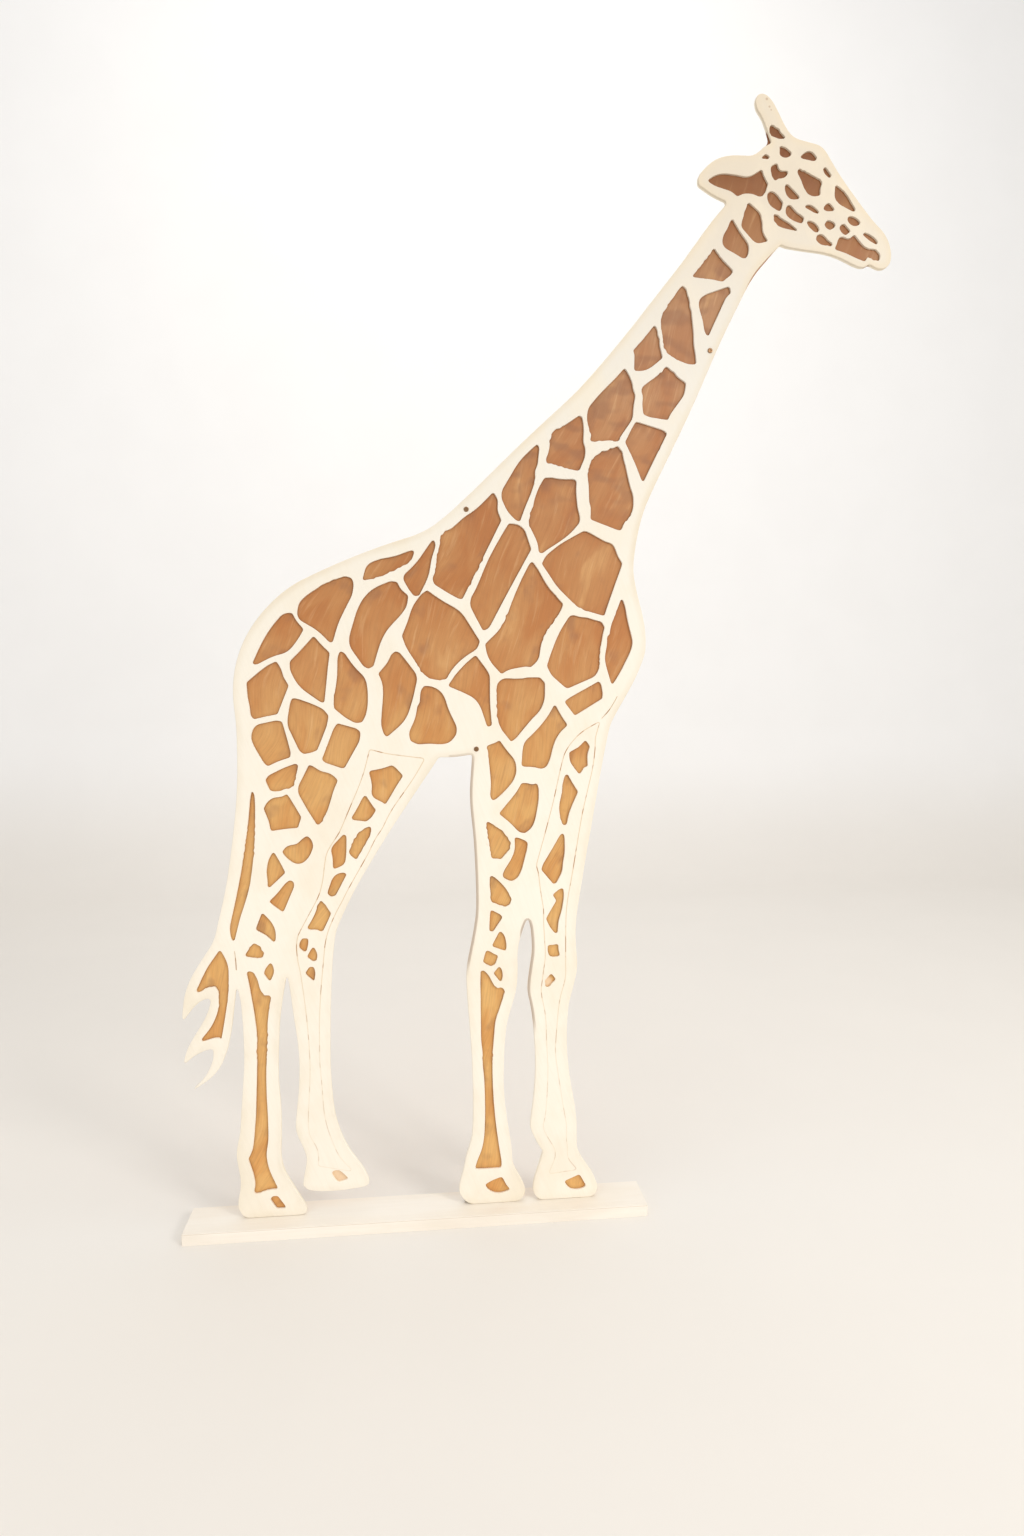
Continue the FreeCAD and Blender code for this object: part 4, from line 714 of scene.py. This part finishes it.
def zinc(name, tint):
    """Zinc plate: bright grey with soft spangle and fine scratches."""
    surface = Surface(name, 0.36)
    surface.shader.inputs["Metallic"].default_value = 1.0
    spangle = surface.noise(surface.place, 260.0, 2.0, 0.5)
    scratch = surface.noise(surface.scaled(surface.place, (3000, 60, 60)), 1.0, 3.0, 0.6)
    darker = tuple(0.72 * channel for channel in tint[:3]) + (1.0,)
    colour = surface.mix(surface.spread(spangle, 0.4, 0.65, 0.0, 0.6), tint, darker)
    normal = surface.bump(scratch, 0.15, 0.0002)
    rough = surface.spread(spangle, 0.35, 0.65, 0.28, 0.45)
    return surface.finish(colour, normal, rough)


def floor_paint():
    """Plain pale studio floor that lightens up the wall."""
    surface = Surface("studio", 0.85, 0.2)
    soft = surface.noise(surface.place, 3.0, 2.0, 0.5)
    up_the_wall = surface.spread(surface.height(), 0.0, SWEEP_RADIUS)
    colour = surface.mix(up_the_wall, linear(232, 227, 220), linear(249, 248, 247))
    colour = surface.mix(surface.spread(soft, 0.3, 0.7, 0.0, 0.03), colour, linear(200, 196, 190))
    return surface.finish(colour)


# --------------------------------------------------------------------- pieces

def dress(piece, material, slot_name, *nodes):
    """Gives a new piece its material and sets it in place of CAD nodes."""
    piece.data.materials.append(material)
    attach(piece, "root")
    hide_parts(*nodes)


def recoat(node_name, material):
    """New material on a CAD node that keeps its own shape."""
    data = NODES[node_name].data
    data.materials.clear()
    data.materials.append(material)


# How far the edges are rounded.
FRONT_RIM = 1.5 * MM
OPENING_RIM = 0.7 * MM
SEAM_RIM = 0.28 * MM
BACK_RIM = 1.0 * MM
# How far the saw strays into the material, evenly and in ragged places.
FRONT_WANDER = 0.35 * MM
BACK_WANDER = 0.25 * MM
RAGGED_BITE = 1.7 * MM
INLAYS = ("far_hind_leg_inlay", "far_front_leg_inlay")
# The outline of the back panel holds more than this, in square metres.
SMALLEST_PANEL_AREA = 0.01
# A ring narrower than this is a single saw cut, and it is drawn narrower on each side by this.
BLADE_WIDTH = 1.2 * MM
CUT_NARROWING = 0.35 * MM
# Seeds that make each edge wander, and each face's loose points fall, in its own way.
FRETWORK_SEED = 11
INLAY_SEED = 300
INLAY_SEED_STEP = 40
BACK_EDGE_SEED = 301
PANEL_SEED = 500
BACK_SEED = 601
# Where a face gets points of its own, across the edge of each spot or beside each seam.
SPOT_STEPS = (0.3 * MM, -0.2 * MM, -0.9 * MM, -1.8 * MM, -4.5 * MM)
SEAM_STEPS = (-1.6 * MM, 1.6 * MM)


def is_saw_cut(ring):
    """Whether a ring is only as wide as a blade."""
    return 2 * abs(ring_area(ring)) / ring_length(ring) < BLADE_WIDTH


def surrounds(ring, other):
    """Whether another ring lies inside a ring."""
    return bool(inside(numpy.array([tuple(point) for point in other]), ring).all())


def points_beside(rings, steps):
    """Loose points at the given distances to the left of each ring."""
    return [point for ring in rings for step in steps for point in offset(ring, step)]


def build_giraffe():
    """The four wooden layers of the animal."""
    paint = cream_paint()
    wood = stained_wood()
    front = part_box("front_fretwork")[0].y
    seam_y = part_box("back_panel")[0].y
    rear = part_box("back_panel")[1].y

    cad_rings = oriented(face_rings("front_fretwork", front))
    fretwork = [
        shaped(ring, FRONT_WANDER, RAGGED_BITE if number else 0.0, FRETWORK_SEED + number)
        for number, ring in enumerate(cad_rings)
    ]
    outer_edge = fretwork[:1]
    spots = []
    seams = []
    panels = []
    fretwork_edges = [(fretwork[0], FRONT_RIM)]
    beds = {}
    for number, node_name in enumerate(INLAYS):
        inlay_rings = oriented(face_rings(node_name, front))
        bed_number = next(
            n for n in range(len(cad_rings) - 1, 0, -1)
            if surrounds(cad_rings[n], inlay_rings[0])
        )
        bed = shaped(cad_rings[bed_number], 0.0, 0.0, 0)
        beds[bed_number] = bed
        holes = [
            shaped(ring, FRONT_WANDER, RAGGED_BITE, INLAY_SEED + INLAY_SEED_STEP * number + n)
            for n, ring in enumerate(inlay_rings[1:])
        ]
        spots += holes
        seams.append(bed)
        inlay_edges = [(bed[::-1], SEAM_RIM)] + [(hole, OPENING_RIM) for hole in holes]
        panels.append((node_name, inlay_edges))
    for number, ring in enumerate(fretwork[1:], start=1):
        if number in beds:
            fretwork_edges.append((beds[number], SEAM_RIM))
        elif is_saw_cut(cad_rings[number]):
            hairline = offset(shaped(cad_rings[number], 0.0, 0.0, 0), -CUT_NARROWING)
            seams.append(hairline)
            fretwork_edges.append((hairline, SEAM_RIM))
        else:
            spots.append(ring)
            fretwork_edges.append((ring, OPENING_RIM))
    panels.append(("front_fretwork", fretwork_edges))

    marks = {"outer_edge": outer_edge, "any_edge": outer_edge + spots, "seam": seams}
    beside_seams = points_beside(seams, SEAM_STEPS)
    for number, (node_name, edges) in enumerate(panels):
        piece = make_panel(
            "painted_" + node_name, edges, seam_y, front, False, marks, beside_seams,
            PANEL_SEED + number,
        )
        dress(piece, paint, "cream_paint", node_name)

    outline = oriented([
        ring for ring in face_rings("back_panel", rear)
        if abs(ring_area(ring)) > SMALLEST_PANEL_AREA
    ])[0]
    back = shaped(outline, BACK_WANDER, 0.0, BACK_EDGE_SEED)
    piece = make_panel(
        "stained_back_panel", [(back, BACK_RIM)], seam_y, rear, True,
        {"spot_edge": spots, "outline": [back]}, points_beside(spots, SPOT_STEPS), BACK_SEED,
    )
    dress(piece, wood, "stained_plywood", "back_panel")


def coat_hardware():
    """Plank, brackets and screws keep their CAD shapes."""
    recoat("base_board", plank_paint())
    bracket_zinc = zinc("bracket_zinc", (0.62, 0.63, 0.65, 1.0))
    screw_zinc = zinc("screw_zinc", (0.70, 0.69, 0.67, 1.0))
    brown_screw = zinc("browned_screw", (0.33, 0.19, 0.10, 1.0))
    for node_name in NODES:
        if node_name.endswith("_bracket"):
            recoat(node_name, bracket_zinc)
        elif "_bracket_" in node_name:
            recoat(node_name, screw_zinc)
        elif node_name.endswith("_screw"):
            recoat(node_name, brown_screw)


# ---------------------------------------------------------------------- stage

FLOOR_FRONT = -6.0
FLOOR_BACK = 2.6
SWEEP_RADIUS = 0.8
SWEEP_STEPS = 12
WALL_TOP = 7.0
HALF_WIDTH = 8.0


def build_stage():
    """Pale floor that curves up into a pale wall, well behind the giraffe."""
    profile = [(FLOOR_FRONT, 0.0)]
    for number in range(SWEEP_STEPS + 1):
        angle = number / SWEEP_STEPS * math.pi / 2
        profile.append((
            FLOOR_BACK + SWEEP_RADIUS * math.sin(angle), SWEEP_RADIUS * (1 - math.cos(angle))
        ))
    profile.append((FLOOR_BACK + SWEEP_RADIUS, WALL_TOP))
    mesh = bmesh.new()
    rows = [
        [mesh.verts.new((side * HALF_WIDTH, y, z)) for side in (-1, 1)] for y, z in profile
    ]
    for lower, upper in zip(rows, rows[1:]):
        face = mesh.faces.new((lower[0], lower[1], upper[1], upper[0]))
        face.smooth = True
    data = bpy.data.meshes.new("studio_sweep")
    mesh.to_mesh(data)
    mesh.free()
    sweep = bpy.data.objects.new("studio_sweep", data)
    data.materials.append(floor_paint())
    bpy.context.scene.collection.objects.link(sweep)


def add_area_light(name, place, target, size, power, colour):
    """Soft square light aimed at a point."""
    data = bpy.data.lights.new(name, "AREA")
    data.shape = "SQUARE"
    data.size = size
    data.energy = power
    data.color = colour
    lamp = bpy.data.objects.new(name, data)
    lamp.location = place
    lamp.rotation_euler = (Vector(target) - Vector(place)).to_track_quat("-Z", "Y").to_euler()
    bpy.context.scene.collection.objects.link(lamp)


def build_lights():
    """Key light from the right of the front, weak fill from the left, a lit wall, pale sky."""
    middle = (0.1, 0.0, 0.7)
    add_area_light("key", (2.4, -2.7, 2.3), middle, 1.1, 52, (1.0, 0.98, 0.95))
    add_area_light("fill", (-2.6, -2.6, 1.2), middle, 2.4, 18, (0.97, 0.985, 1.0))
    add_area_light("wall_wash", (0.3, 0.6, 4.6), (0.3, 3.4, 0.9), 3.5, 48, (1.0, 1.0, 1.0))
    world = bpy.data.worlds.new("studio_sky")
    world.use_nodes = True
    background = world.node_tree.nodes["Background"]
    background.inputs["Color"].default_value = (1.0, 0.995, 0.985, 1.0)
    background.inputs["Strength"].default_value = 0.74
    bpy.context.scene.world = world


# Camera: where it stands, how far it looks down and to the right in radians, its lens in mm.
CAMERA_PLACE = (-0.00197, -1.48366, 0.90213)
CAMERA_DOWN = 0.07018
CAMERA_TURN = 0.10998
SENSOR_WIDTH = 36.0
FOCAL_LENGTH = 20.286


def build_camera():
    """Eye at chest height, 1.5 m in front of the giraffe, turned a little to the right."""
    data = bpy.data.cameras.new("camera")
    data.sensor_width = SENSOR_WIDTH
    data.lens = FOCAL_LENGTH
    camera = bpy.data.objects.new("camera", data)
    camera.location = CAMERA_PLACE
    camera.rotation_euler = (math.pi / 2 - CAMERA_DOWN, 0.0, -CAMERA_TURN)
    bpy.context.scene.collection.objects.link(camera)
    bpy.context.scene.camera = camera


build_giraffe()
coat_hardware()
build_stage()
build_lights()
build_camera()
bpy.context.scene.view_settings.view_transform = "Standard"
